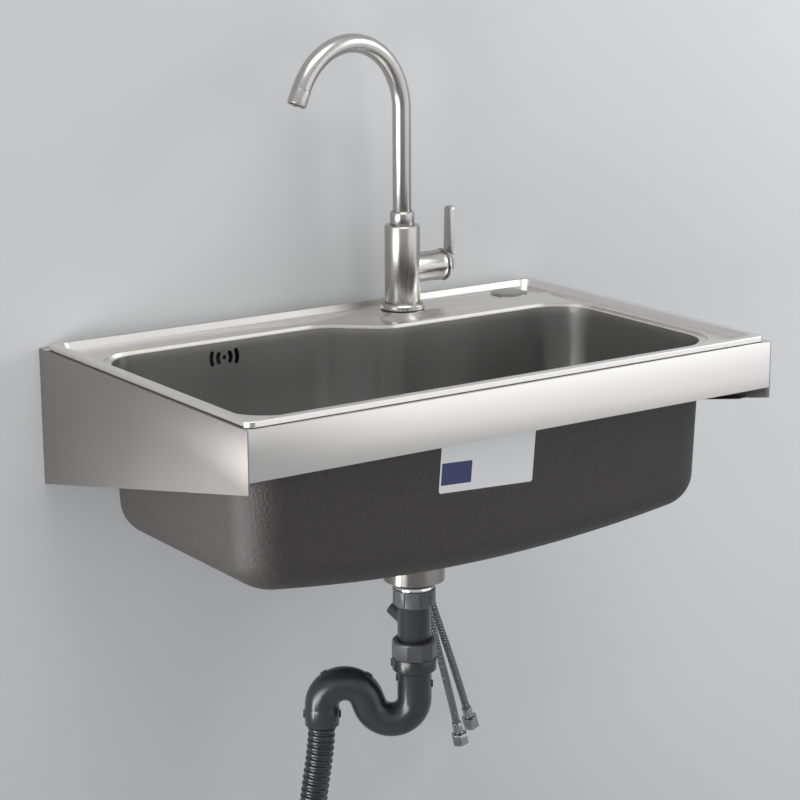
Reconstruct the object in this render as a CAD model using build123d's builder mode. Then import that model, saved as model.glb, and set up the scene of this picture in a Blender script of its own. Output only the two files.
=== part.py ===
# Wall-mounted sink: folded steel bracket, pressed one-bowl sink, side-lever mixer tap,
# basket strainer, S-trap and drain hose. Millimetres, +Z up, wall plane at Y = 0,
# sink on the -Y side, origin at the centre of the four wall bolt holes.
from build123d import *
from math import acos, atan, cos, degrees, pi, radians, sin, tan
import os

os.makedirs("parts", exist_ok=True)

# Driving dimensions of the bracket
bracket_width = 680.0
bracket_depth = 449.0
bracket_sheet = 1.2
side_height_wall = 156.0
side_height_front = 64.0
rail_height = 52.0
rear_rail_height = 62.0
seat_width = 14.0
wall_flange = 36.0
bottom_flange = 12.0
bottom_flange_setback = 35.0
end_flange = 20.0
rail_hem = 10.0
sheet_gap = 0.15
bolt_inset = 20.0
bolt_hole_r = 5.0
bolt_spacing_z = 100.0
top_bolt_drop = 28.0
bracket_top = bolt_spacing_z / 2 + top_bolt_drop

# Studs and nuts that hold the bracket together
stud_r = 2.5
stud_length = 9.0
stud_hole_r = 2.8
frame_nut_flats = 8.0
frame_nut_height = 4.5
frame_nut_flange_r = 5.6
stud_drops = (16.0, 38.0)

# Driving dimensions of the sink
sheet = 0.8
rim_side_inset = 4.0
rim_front_inset = 5.0
rim_back_inset = 11.0
rim_height = 6.8
rim_lift = 0.9
rim_width = 9.0
rim_slope = 4.0
rim_corner_r = 9.0
recess_corner_r = 10.0
bowl_left_margin = 27.0
bowl_right_margin = 42.0
bowl_front_margin = 42.0
bowl_back = -82.0
bowl_step_back = -137.0
bowl_step_width = 62.0
step_gap = 8.0
bowl_corner_r = 50.0
lip_width = 10.0
lip_drop = 2.0
lip_bend_r = 4.0
bowl_depth = 209.0
bowl_draft = 2.2
bowl_floor_r = 38.0
floor_sag_r = 1900.0
coating = 0.7
coating_start = 38.0

# Raised tap platform in the back right of the deck
platform_width = 262.0
platform_right_margin = 30.0
platform_back = -32.0
platform_front = -93.0
platform_rise = 2.0
platform_corner_r = 10.0
tap_inset = 58.8
spare_hole_inset = 44.0
tap_hole_r = 17.5

# Overflow slots in the back wall of the bowl
overflow_inset = 161.5
overflow_drop = 20.0
overflow_arc_radii = (8.4, 16.8)
overflow_arc_half = (33.0, 22.5)
overflow_slot = 5.2
overflow_dot_r = 2.6
overflow_box_w = 46.0
overflow_box_h = 28.0
overflow_flange_w = 66.0
overflow_box_d = 20.0
overflow_wall = 2.0
overflow_gasket_t = 2.0
overflow_spigot_r = 8.5
overflow_spigot_length = 22.0
overflow_stud_x = 27.5
overflow_stud_r = 2.0
overflow_stud_length = 8.5
overflow_corner_r = 6.0
overflow_nut_flats = 7.0
overflow_nut_t = 3.2

# Drain: strainer, slip joints and trap, on one vertical axis
drain_offset = 1.2
drain_inset = 110.0
drain_hole_r = 46.0
flange_r = 57.0
flange_t = 1.2
cup_r = 42.0
cup_low_r = 35.2
cup_wall = 1.2
cup_step_drop = 26.0
cup_depth = 49.0
outlet_r = 21.6
outlet_bore_r = 17.0
outlet_length = 23.5
drain_recess_r = 60.0
drain_recess_depth = 4.5
outlet_gasket_r = 26.0
outlet_gasket_t = 6.0
strainer_gasket_t = 2.5
locknut_r = 52.0
locknut_t = 9.0
locknut_lug = 3.0
locknut_lugs = 8
basket_r = 33.0
basket_height = 16.0
basket_wall = 0.9
basket_hole_r = 2.2
post_r = 3.0
knob_r = 7.0
knob_drop = 16.0
stopper_r = 20.0
outlet_ring_r = 23.2

tail_r = 19.1
tail_bore_r = 16.6
tail_flange_r = 21.2
tail_flange_t = 1.9
tail_seal_t = 1.5
tail_insertion = 10.0
slip_gap = 0.4
top_nut_r = 24.4
top_nut_height = 20.3
top_nut_ribs = 8
top_nut_rib_w = 3.6
top_nut_rib_phase = 22.1
branch_r = 9.5
branch_wall = 2.0
branch_length = 36.0
branch_over_slip = 13.8
branch_rise = 30.0
branch_yaw = -17.0
slip_nut_r = 25.6
slip_nut_height = 21.1
slip_nut_facets = 10
slip_lip_t = 4.2
slip_shoulder_t = 3.6
slip_washer_t = 5.0
collar_neck_outer = 23.0
collar_r = 25.4
trap_r = 19.7
trap_bore_r = 17.2
trap_bend_r = 26.5
trap_turn = 160.1
trap_cross_run = 9.7
trap_yaw = 34.5
trap_outlet_r = 20.2
trap_mouth_r = 18.3
trap_mouth_taper = 7.0
socket_length = 19.0
lug_height = 1.6
lug_length = 8.0
lug_t = 4.0
lug_rise_outer = 25.0
lug_rise_inner = 17.0
lug_over_mouth = 12.5
lug_arch_angles = (59.0, 127.0)
thread_gap = 0.2
fit_gap = 0.1
moving_gap = 0.3

top_nut_under_seat = 59.5
tail_run = 41.5
collar_length = 14.0
trap_leg = 71.5
outlet_leg = 31.7

# Corrugated drain hose
hose_r = 15.9
hose_root_r = 13.9
hose_bore_r = 12.4
rib_pitch = 7.5
hose_plain_end = 21.5
hose_seal_t = 12.0
cuff_length = 36.0
cuff_grip = 18.0
cuff_wall = 2.6
cuff_flange_r = 21.5
cuff_spigot_r = 19.8

# Mixer tap
spout_r = 11.0
spout_wall = 1.2
spout_bend_r = 82.5
spout_turn = 154.3
spout_tip_run = 1.0
spout_yaw = -80.0
spout_centre_height = 239.0
aerator_length = 18.0
aerator_r = 11.3
aerator_bore_r = 9.4
insert_t = 2.5
insert_recess = 1.0
insert_hole_r = 0.9
body_r = 21.0
body_height = 100.0
base_ring_r = 26.5
base_ring_height = 7.0
base_gasket_t = 1.5
collar_neck_r = 14.5
collar_neck_height = 16.0
socket_depth = 32.0
socket_floor_gap = 2.0
bush_r = 12.4
running_gap = 0.06
arm_height = 46.0
arm_r = 18.0
ball_reach = 50.0
ball_r = 18.4
cap_gap = 0.4
cap_wall = 2.4
cap_half_angle = 68.0
dome_wall = 3.0
dome_back = 12.0
dome_opening_r = 13.0
lever_length = 70.0
lever_foot = 10.6
lever_width = 16.0
lever_tip_width = 12.0
lever_t = 6.0
cartridge_r = 13.0
cartridge_back = 32.0
carrier_r = 10.0
carrier_back = 9.0
carrier_t = 3.8
cheek_t = 3.2
cheek_half = 4.0
pin_r = 1.25
stem_half = 2.5
stem_tail = 4.0
stem_reach = 16.0
boss_r = 5.0
boss_start = 12.5
lever_screw_r = 2.2
shank_r = 15.5
shank_bore_r = 12.5
shank_length = 55.0
shank_bore_depth = 31.5
shank_nut_r = 24.0
shank_nut_height = 8.0
washer_r = 25.0
washer_t = 2.0
steel_washer_t = 1.5

# Braided supply hoses
supply_r = 5.0
supply_bore_r = 3.0
neck_r = 4.6
nut_wall = 3.0
hose_seal_disc_t = 2.0
supply_offset = 5.6
ferrule_r = 6.3
ferrule_length = 15.0
hose_nut_flats = 19.0
hose_nut_length = 14.0
hose_nut_bore_r = 7.6
hose_collar_r = 7.3
hose_collar_t = 3.0

# Small covers and seals
cover_r = 23.0
cover_t = 3.0
cover_stud_r = 4.0
cover_stud_length = 26.0
cover_nut_r = 24.0
cover_nut_t = 6.0
cover_wing = 8.0
sticker_width = 123.0
sticker_height = 66.0
sticker_t = 0.2
sticker_offset = -13.5
sticker_drop = 86.0
sticker_corner_r = 3.0
sticker_turn = -3.0
seal_t = 0.9

half_width = bracket_width / 2
rim_top = bracket_top + rim_height
bowl_left = -half_width + bowl_left_margin
bowl_right = half_width - bowl_right_margin
bowl_front = -bracket_depth + bowl_front_margin
bowl_centre_x = (bowl_left + bowl_right) / 2
platform_right = half_width - platform_right_margin
platform_left = platform_right - platform_width
step_x_right = platform_left - step_gap
step_x_left = step_x_right - bowl_step_width
tap_seat = bracket_top + platform_rise
tap_x = platform_left + tap_inset
tap_y = (platform_back + platform_front) / 2
spare_hole_x = platform_right - spare_hole_inset
overflow_x = bowl_left + overflow_inset
drain_x = bowl_centre_x + drain_offset
drain_y = bowl_step_back - drain_inset
drain_seat = bracket_top - lip_drop - bowl_depth - drain_recess_depth
sticker_x = bowl_centre_x + sticker_offset


def save(part, label):
    part.label = label
    export_step(part, f"parts/{label}.step")


def rectangle_between(x1, x2, y1, y2, height, corner=0.0, grow=0.0):
    """A rectangle in plan at a height, by its edges, with rounded corners."""
    with BuildSketch(Plane.XY.offset(height)) as plan:
        with Locations(((x1 + x2) / 2, (y1 + y2) / 2)):
            if corner > 0:
                RectangleRounded(x2 - x1 + 2 * grow, y2 - y1 + 2 * grow, corner + grow)
            else:
                Rectangle(x2 - x1 + 2 * grow, y2 - y1 + 2 * grow)
    return plan.sketch


def rim_plan(height, inset=0.0):
    """Outline of the sink's rim, drawn in by inset."""
    return rectangle_between(-half_width + rim_side_inset + inset, half_width - rim_side_inset - inset,
                             -bracket_depth + rim_front_inset + inset, -rim_back_inset - inset,
                             height, corner=rim_corner_r - min(inset, rim_corner_r - 1.0))


def recess_plan(height, grow=0.0):
    """Outline of the recess inside the rim, at the foot of its slope."""
    inset = rim_width + rim_slope
    return rectangle_between(-half_width + rim_side_inset + inset, half_width - rim_side_inset - inset,
                             -bracket_depth + rim_front_inset + inset, -rim_back_inset - inset,
                             height, corner=recess_corner_r, grow=grow)


def bowl_plan(height, grow=0.0):
    """Outline of the bowl's mouth: its back edge steps forward beside the tap platform."""
    with BuildSketch(Plane.XY.offset(height)) as plan:
        with BuildLine():
            Polyline((bowl_left, bowl_front), (bowl_right, bowl_front), (bowl_right, bowl_step_back),
                     (step_x_right, bowl_step_back), (step_x_left, bowl_back), (bowl_left, bowl_back),
                     close=True)
        make_face()
        fillet(plan.vertices(), radius=bowl_corner_r)
        if grow != 0:
            offset(amount=grow, mode=Mode.REPLACE)
    return plan.sketch


def bowl_block(grow, top):
    """The bowl as a solid block: drafted sides, a floor that sags to the drain's line, rounded floor edge."""
    mouth = bracket_top - lip_drop
    with BuildPart() as block:
        extrude(bowl_plan(mouth, grow), amount=bowl_depth + 2 * drain_recess_depth, dir=(0, 0, -1),
                taper=bowl_draft)
        with Locations(Location((drain_x, -bracket_depth / 2, mouth - bowl_depth + floor_sag_r), (90, 0, 0))):
            Cylinder(floor_sag_r + grow, 2 * bracket_depth, mode=Mode.INTERSECT)
        fillet(block.faces().sort_by(Axis.Z)[0].edges(), radius=bowl_floor_r + grow)
        extrude(bowl_plan(mouth, grow), amount=top)
    return block.part


def ring_plan(centre, height, outer, inner=0.0):
    """A flat ring in plan at a height."""
    with BuildSketch(Plane.XY.offset(height)) as plan:
        with Locations(centre):
            Circle(outer)
            if inner > 0:
                Circle(inner, mode=Mode.SUBTRACT)
    return plan.sketch


def half_section(origin, points, along=(0, 0, 1), across=(1, 0, 0)):
    """Half section of a turned piece: each point is its radius and its distance along the axis."""
    plane = Plane(origin=origin, x_dir=across, z_dir=Vector(across).cross(Vector(along)))
    with BuildSketch(plane) as profile:
        with BuildLine():
            Polyline(*points, close=True)
        make_face()
    return profile.sketch


def tube_section(plane, outer, inner):
    with BuildSketch(plane) as ring:
        Circle(outer)
        Circle(inner, mode=Mode.SUBTRACT)
    return ring.sketch


def print_tube(name, part, outer, inner, path):
    expected = pi * (outer ** 2 - inner ** 2) * path.length
    print(f"{name}: length {path.length:.1f} mm, volume over section times length {part.volume / expected:.4f}")


def arc_radii(points):
    """Fillet radii of a cord's route: 0.45 of the shorter run over the tangent of half the turn."""
    radii = []
    for before, here, after in zip(points, points[1:], points[2:]):
        run_in, run_out = Vector(*here) - Vector(*before), Vector(*after) - Vector(*here)
        turn = run_in.get_angle(run_out)
        radii.append(0.45 * min(run_in.length, run_out.length) / tan(radians(turn / 2)))
    return radii


# Side panels: folded sheet with a seat for the rim, a wall flange and a bottom flange
def side_panel(sign):
    outer = sign * half_width
    inner = sign * (half_width - bracket_sheet)
    top, low_wall, low_front = bracket_top, bracket_top - side_height_wall, bracket_top - side_height_front
    with BuildPart() as panel:
        with BuildSketch(Plane.YZ.offset(min(outer, inner))) as web:
            with BuildLine():
                Polyline((0, top), (0, low_wall), (-bracket_depth, low_front), (-bracket_depth, top), close=True)
            make_face()
        extrude(web.sketch, amount=bracket_sheet)
        x_seat = sorted((outer, sign * (half_width - seat_width)))
        seat_back, seat_front = -seat_width - sheet_gap, -bracket_depth + seat_width + sheet_gap
        extrude(rectangle_between(*x_seat, seat_front, seat_back, top), amount=-bracket_sheet)
        x_wall = sorted((outer, sign * (half_width - wall_flange)))
        with BuildSketch(Plane.XZ) as wall:
            with Locations(((x_wall[0] + x_wall[1]) / 2, top - side_height_wall / 2)):
                Rectangle(wall_flange, side_height_wall)
        extrude(wall.sketch, amount=bracket_sheet)
        slope = (low_front - low_wall) / -bracket_depth
        y_front = -bracket_depth + bottom_flange_setback
        x_low = sorted((outer, sign * (half_width - bottom_flange)))
        with BuildSketch(Plane.YZ.offset(x_low[0])) as low:
            with BuildLine():
                Polyline((0, low_wall), (y_front, low_wall + slope * y_front),
                         (y_front, low_wall + slope * y_front + bracket_sheet),
                         (0, low_wall + bracket_sheet), close=True)
            make_face()
        extrude(low.sketch, amount=bottom_flange)
        with Locations(*[Location((sign * (half_width - bolt_inset), -bracket_sheet / 2, z), (90, 0, 0))
                         for z in (-bolt_spacing_z / 2, bolt_spacing_z / 2)]):
            Cylinder(bolt_hole_r, 4 * bracket_sheet, mode=Mode.SUBTRACT)
        stud_ys = (-end_flange / 2 - 3 * bracket_sheet, -bracket_depth + end_flange / 2 + 2 * bracket_sheet)
        with Locations(*[Location((inner - sign * stud_length / 2, y, top - drop), (0, 90, 0))
                         for y in stud_ys for drop in stud_drops]):
            Cylinder(stud_r, stud_length)
    return panel.part, stud_ys


left_panel, stud_rows = side_panel(-1)
save(left_panel, "left_side_panel")
right_panel, stud_rows = side_panel(1)
save(right_panel, "right_side_panel")

# Front rail: folded strip between the panels, flush with their front edges
rail_half = half_width - bracket_sheet - sheet_gap
with BuildPart() as front_rail:
    with BuildSketch(Plane.YZ.offset(-rail_half)) as section:
        with BuildLine():
            Polyline((-bracket_depth, bracket_top), (-bracket_depth + seat_width, bracket_top),
                     (-bracket_depth + seat_width, bracket_top - bracket_sheet),
                     (-bracket_depth + bracket_sheet, bracket_top - bracket_sheet),
                     (-bracket_depth + bracket_sheet, bracket_top - rail_height + bracket_sheet),
                     (-bracket_depth + rail_hem, bracket_top - rail_height + bracket_sheet),
                     (-bracket_depth + rail_hem, bracket_top - rail_height),
                     (-bracket_depth, bracket_top - rail_height), close=True)
        make_face()
    extrude(section.sketch, amount=2 * rail_half)
    for x in (-rail_half, rail_half - bracket_sheet):
        with BuildSketch(Plane.YZ.offset(x)) as end:
            with Locations((-bracket_depth, bracket_top - rail_height)):
                Rectangle(end_flange + 2 * bracket_sheet, rail_height - bracket_sheet - sheet_gap,
                          align=(Align.MIN, Align.MIN))
        extrude(end.sketch, amount=bracket_sheet)
        with Locations(*[Location((x + bracket_sheet / 2, stud_rows[1], bracket_top - drop), (0, 90, 0))
                         for drop in stud_drops]):
            Cylinder(stud_hole_r, 3 * bracket_sheet, mode=Mode.SUBTRACT)
save(front_rail.part, "front_rail")

# Rear rail: the same kind of strip against the wall flanges, with clearance for the wall bolts
rear_face = -bracket_sheet - sheet_gap
with BuildPart() as rear_rail:
    with BuildSketch(Plane.YZ.offset(-rail_half)) as section:
        with BuildLine():
            Polyline((rear_face, bracket_top), (-seat_width, bracket_top),
                     (-seat_width, bracket_top - bracket_sheet),
                     (rear_face - bracket_sheet, bracket_top - bracket_sheet),
                     (rear_face - bracket_sheet, bracket_top - rear_rail_height),
                     (rear_face, bracket_top - rear_rail_height), close=True)
        make_face()
    extrude(section.sketch, amount=2 * rail_half)
    for x in (-rail_half, rail_half - bracket_sheet):
        with BuildSketch(Plane.YZ.offset(x)) as end:
            with Locations((rear_face, bracket_top - rear_rail_height)):
                Rectangle(end_flange + 2 * bracket_sheet, rear_rail_height - bracket_sheet - sheet_gap,
                          align=(Align.MAX, Align.MIN))
        extrude(end.sketch, amount=bracket_sheet)
        with Locations(*[Location((x + bracket_sheet / 2, stud_rows[0], bracket_top - drop), (0, 90, 0))
                         for drop in stud_drops]):
            Cylinder(stud_hole_r, 3 * bracket_sheet, mode=Mode.SUBTRACT)
    with Locations(*[Location((x, rear_face - bracket_sheet / 2, bolt_spacing_z / 2), (90, 0, 0))
                     for x in (-half_width + bolt_inset, half_width - bolt_inset)]):
        Cylinder(bolt_hole_r, 4 * bracket_sheet, mode=Mode.SUBTRACT)
save(rear_rail.part, "rear_rail")

# Flange nuts on the panels' studs
nut_seat = rail_half - bracket_sheet
with BuildPart() as frame_nuts:
    for sign in (-1, 1):
        for y in stud_rows:
            for drop in stud_drops:
                face = Plane(origin=(sign * nut_seat, y, bracket_top - drop), x_dir=(0, 1, 0), z_dir=(-sign, 0, 0))
                with BuildSketch(face) as hexagon:
                    RegularPolygon(frame_nut_flats / 2, 6, major_radius=False)
                extrude(hexagon.sketch, amount=frame_nut_height)
                with BuildSketch(face) as washer:
                    Circle(frame_nut_flange_r)
                extrude(washer.sketch, amount=bracket_sheet)
                with BuildSketch(face) as bore:
                    Circle(stud_r + thread_gap)
                extrude(bore.sketch, amount=frame_nut_height, mode=Mode.SUBTRACT)
save(frame_nuts.part, "frame_nuts")

# Rim seal: thin rubber frame between the sink's turned-down rim and the bracket's seat
with BuildPart() as rim_seal:
    extrude(rim_plan(bracket_top, inset=0.3), amount=seal_t)
    extrude(rim_plan(bracket_top, inset=4.5), amount=seal_t, mode=Mode.SUBTRACT)
save(rim_seal.part, "rim_seal")

# Sink: pressed from one sheet, with rim, recessed deck, tap platform and bowl
slope_angle = degrees(atan(rim_slope / rim_height))
platform_edges = (platform_left, platform_right, platform_front, platform_back)
bowl_outside, bowl_inside = bowl_block(sheet, 0.01), bowl_block(0, lip_drop)
overflow_face_y = bowl_back + sheet - (overflow_drop - lip_drop) * tan(radians(bowl_draft))
overflow_plane = Plane(origin=(overflow_x, overflow_face_y, bracket_top - overflow_drop), x_dir=(1, 0, 0),
                       z_dir=(0, cos(radians(bowl_draft)), -sin(radians(bowl_draft))))
slots = Circle(overflow_dot_r)
for radius, half in zip(overflow_arc_radii, overflow_arc_half):
    for side in (0, 180):
        slots += SlotArc(CenterArc((0, 0), radius, side - half, 2 * half), overflow_slot)
with BuildPart() as sink_basin:
    extrude(rim_plan(bracket_top + rim_lift), amount=rim_height - rim_lift)
    fillet(sink_basin.edges().group_by(Axis.Z)[-1], radius=1.4 * sheet)
    extrude(rim_plan(bracket_top + rim_lift, inset=sheet), amount=rim_height - rim_lift - sheet,
            mode=Mode.SUBTRACT)
    extrude(recess_plan(bracket_top - sheet, grow=sheet), amount=rim_height, taper=-slope_angle)
    extrude(bowl_plan(bracket_top - lip_drop - sheet, lip_width + sheet), amount=lip_drop)
    add(bowl_outside)
    extrude(ring_plan((drain_x, drain_y), drain_seat - sheet, drain_recess_r + sheet),
            amount=drain_recess_depth + 3 * sheet)
    extrude(recess_plan(bracket_top), amount=rim_height, taper=-slope_angle, mode=Mode.SUBTRACT)
    extrude(bowl_plan(bracket_top - lip_drop, lip_width), amount=lip_drop, mode=Mode.SUBTRACT)
    add(bowl_inside, mode=Mode.SUBTRACT)
    extrude(ring_plan((drain_x, drain_y), drain_seat, drain_recess_r), amount=drain_recess_depth + 3 * sheet,
            mode=Mode.SUBTRACT)
    extrude(rectangle_between(*platform_edges, bracket_top, platform_corner_r, grow=platform_rise),
            amount=platform_rise, taper=45)
    extrude(rectangle_between(*platform_edges, bracket_top - sheet, platform_corner_r, grow=0),
            amount=platform_rise, mode=Mode.SUBTRACT)
    with Locations((tap_x, tap_y, bracket_top), (spare_hole_x, tap_y, bracket_top)):
        Cylinder(tap_hole_r, 4 * platform_rise, mode=Mode.SUBTRACT)
    with Locations((drain_x, drain_y, drain_seat)):
        Cylinder(drain_hole_r, 4 * sheet, mode=Mode.SUBTRACT)
    extrude(overflow_plane * slots, amount=3 * sheet, both=True, mode=Mode.SUBTRACT)
    with BuildSketch(overflow_plane) as studs:
        with Locations((-overflow_stud_x, 0), (overflow_stud_x, 0)):
            Circle(overflow_stud_r)
    extrude(studs.sketch, amount=overflow_stud_length)
    extrude(studs.sketch, amount=-sheet / 2)
save(sink_basin.part, "sink_basin")

# Sound-deadening coating on the outside of the bowl, left open round the drain
coating_outside = bowl_block(sheet + coating, 0.01)
with BuildPart() as bowl_coating:
    add(coating_outside)
    add(bowl_outside, mode=Mode.SUBTRACT)
    with Locations((0, 0, bracket_top - coating_start)):
        Box(2 * bracket_width, 2 * bracket_depth, bowl_depth, align=(Align.CENTER, Align.CENTER, Align.MIN),
            mode=Mode.SUBTRACT)
    with Locations((drain_x, drain_y, drain_seat)):
        Cylinder(drain_recess_r + sheet + coating, 10 * drain_recess_depth, mode=Mode.SUBTRACT)
save(bowl_coating.part, "bowl_coating")

# Blank sticker on the front of the bowl, below the front rail
skin_y = bowl_front - sheet - coating + (sticker_drop - lip_drop) * tan(radians(bowl_draft)) - sheet_gap
sticker_plane = Plane(origin=(sticker_x, skin_y, bracket_top - sticker_drop),
                      x_dir=(1, 0, 0), z_dir=(0, -cos(radians(bowl_draft)), -sin(radians(bowl_draft))))
with BuildPart() as blank_sticker:
    with BuildSketch(sticker_plane) as sheet_outline:
        with Locations(Location((0, 0, 0), (0, 0, sticker_turn))):
            RectangleRounded(sticker_width, sticker_height, sticker_corner_r)
    extrude(sheet_outline.sketch, amount=sticker_t)
save(blank_sticker.part, "blank_sticker")

# Cover over the spare tap hole, with its stud, and the nut under the deck
spare_centre = (spare_hole_x, tap_y, tap_seat)
with BuildPart() as tap_hole_cover:
    revolve(half_section(spare_centre, [(0, -cover_stud_length), (cover_stud_r, -cover_stud_length),
                                        (cover_stud_r, 0), (cover_r, 0), (cover_r, 0.4 * cover_t),
                                        (0.87 * cover_r, 0.87 * cover_t), (0, cover_t)]),
            axis=Axis(spare_centre, (0, 0, 1)))
save(tap_hole_cover.part, "tap_hole_cover")
with BuildPart() as cover_nut:
    extrude(ring_plan((spare_hole_x, tap_y), tap_seat - sheet - cover_nut_t, cover_nut_r,
                      cover_stud_r + thread_gap), amount=cover_nut_t)
    with Locations((spare_hole_x, tap_y, tap_seat - sheet - cover_nut_t - cover_wing / 2)):
        Box(2 * cover_nut_r - 8, sticker_corner_r, cover_wing)
        Cylinder(cover_stud_r + thread_gap, 2 * cover_wing, mode=Mode.SUBTRACT)
save(cover_nut.part, "cover_nut")

# Overflow: gasket, box with a spigot pointing down, and two nuts on the sink's studs
with BuildPart() as overflow_gasket:
    with BuildSketch(overflow_plane) as outline:
        RectangleRounded(overflow_flange_w, overflow_box_h, overflow_corner_r)
        RectangleRounded(overflow_box_w - 2 * overflow_wall, overflow_box_h - 2 * overflow_wall,
                         overflow_corner_r - overflow_wall, mode=Mode.SUBTRACT)
        with Locations((-overflow_stud_x, 0), (overflow_stud_x, 0)):
            Circle(overflow_stud_r + thread_gap, mode=Mode.SUBTRACT)
    extrude(outline.sketch, amount=overflow_gasket_t)
save(overflow_gasket.part, "overflow_gasket")
box_start = overflow_plane.offset(overflow_gasket_t)
with BuildPart() as overflow_housing:
    with BuildSketch(box_start) as flange:
        RectangleRounded(overflow_flange_w, overflow_box_h, overflow_corner_r)
    extrude(flange.sketch, amount=overflow_wall)
    with BuildSketch(box_start) as box:
        RectangleRounded(overflow_box_w, overflow_box_h, overflow_corner_r)
    extrude(box.sketch, amount=overflow_box_d)
    with BuildSketch(box_start) as hollow:
        RectangleRounded(overflow_box_w - 2 * overflow_wall, overflow_box_h - 2 * overflow_wall,
                         overflow_corner_r - overflow_wall)
        with Locations((-overflow_stud_x, 0), (overflow_stud_x, 0)):
            Circle(overflow_stud_r + thread_gap)
    spigot_centre = box_start.from_local_coords((0, 0, overflow_box_d / 2))
    spigot_end = overflow_box_h / 2 + overflow_spigot_length
    with BuildSketch(Plane(origin=spigot_centre, x_dir=(1, 0, 0), z_dir=overflow_plane.y_dir)) as spigot:
        Circle(overflow_spigot_r)
    with BuildSketch(Plane(origin=spigot_centre, x_dir=(1, 0, 0), z_dir=overflow_plane.y_dir)) as spigot_bore:
        Circle(overflow_spigot_r - overflow_wall)
    extrude(spigot.sketch, amount=spigot_end)
    extrude(hollow.sketch, amount=overflow_box_d - overflow_wall, mode=Mode.SUBTRACT)
    extrude(spigot_bore.sketch, amount=spigot_end, mode=Mode.SUBTRACT)
save(overflow_housing.part, "overflow_housing")
with BuildPart() as overflow_nuts:
    with BuildSketch(overflow_plane.offset(overflow_gasket_t + overflow_wall)) as hexagons:
        with Locations((-overflow_stud_x, 0), (overflow_stud_x, 0)):
            RegularPolygon(overflow_nut_flats / 2, 6, major_radius=False)
            Circle(overflow_stud_r + thread_gap, mode=Mode.SUBTRACT)
    extrude(hexagons.sketch, amount=overflow_nut_t)
save(overflow_nuts.part, "overflow_nuts")

# Basket strainer: body with its cup and threaded outlet, gasket, locknut, basket and stopper
drain_top = (drain_x, drain_y, drain_seat)
drain_axis = Axis(drain_top, (0, 0, 1))
cup_bottom = drain_seat - cup_depth
outlet_end = cup_bottom - outlet_length
cup_inside, cup_low_inside = cup_r - cup_wall, cup_low_r - cup_wall
with BuildPart() as strainer_body:
    revolve(half_section(drain_top, [(flange_r, 0), (flange_r, flange_t / 2), (flange_r - flange_t, flange_t),
                                     (cup_inside, flange_t), (cup_inside, -cup_step_drop),
                                     (cup_low_inside, -cup_step_drop), (cup_low_inside, -cup_depth + cup_wall),
                                     (outlet_bore_r, -cup_depth + cup_wall),
                                     (outlet_bore_r, -cup_depth - outlet_length),
                                     (outlet_r, -cup_depth - outlet_length), (outlet_r, -cup_depth),
                                     (cup_low_r, -cup_depth), (cup_low_r, -cup_step_drop - cup_wall),
                                     (cup_r, -cup_step_drop - cup_wall), (cup_r, 0)]), axis=drain_axis)
save(strainer_body.part, "strainer_body")
under_sheet = drain_seat - sheet
with BuildPart() as strainer_gasket:
    extrude(ring_plan((drain_x, drain_y), under_sheet - strainer_gasket_t, locknut_r + 2, cup_r + thread_gap),
            amount=strainer_gasket_t)
save(strainer_gasket.part, "strainer_gasket")
with BuildPart() as strainer_locknut:
    extrude(ring_plan((drain_x, drain_y), under_sheet - strainer_gasket_t - locknut_t, locknut_r - locknut_lug,
                      cup_r + thread_gap), amount=locknut_t)
    with BuildSketch(Plane.XY.offset(under_sheet - strainer_gasket_t - locknut_t)) as lugs:
        with Locations((drain_x, drain_y)):
            with PolarLocations((cup_r + locknut_r) / 2, locknut_lugs):
                Rectangle(locknut_r - cup_r - 2, 2 * locknut_lug)
    extrude(lugs.sketch, amount=locknut_t)
save(strainer_locknut.part, "strainer_locknut")

basket_floor = -cup_step_drop - basket_height
with BuildPart() as strainer_basket:
    revolve(half_section(drain_top, [(0, basket_floor), (basket_r, basket_floor),
                                     (basket_r, -cup_step_drop + moving_gap),
                                     (cup_inside - 1, -cup_step_drop + moving_gap),
                                     (cup_inside - 1, -cup_step_drop + moving_gap + basket_wall),
                                     (basket_r - basket_wall, -cup_step_drop + moving_gap + basket_wall),
                                     (basket_r - basket_wall, basket_floor + basket_wall),
                                     (post_r, basket_floor + basket_wall), (post_r, -knob_drop),
                                     (knob_r, -knob_drop), (knob_r, -knob_drop + 0.6 * knob_r),
                                     (0, -knob_drop + knob_r)]), axis=drain_axis)
    with BuildSketch(Plane.XY.offset(drain_seat + basket_floor)) as holes:
        with Locations((drain_x, drain_y)):
            for ring_r, count in ((0.4 * basket_r, 8), (0.62 * basket_r, 14), (0.84 * basket_r, 20)):
                with PolarLocations(ring_r, count):
                    Circle(basket_hole_r)
    extrude(holes.sketch, amount=basket_wall, mode=Mode.SUBTRACT)
save(strainer_basket.part, "strainer_basket")
stopper_t = cup_depth - cup_wall + basket_floor - moving_gap
with BuildPart() as basket_stopper:
    revolve(half_section(drain_top, [(0, basket_floor), (0, basket_floor - stopper_t),
                                     (stopper_r, basket_floor - stopper_t),
                                     (0.3 * stopper_r, basket_floor - 0.4 * stopper_t),
                                     (0.3 * stopper_r, basket_floor)]), axis=drain_axis)
save(basket_stopper.part, "basket_stopper")

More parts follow.
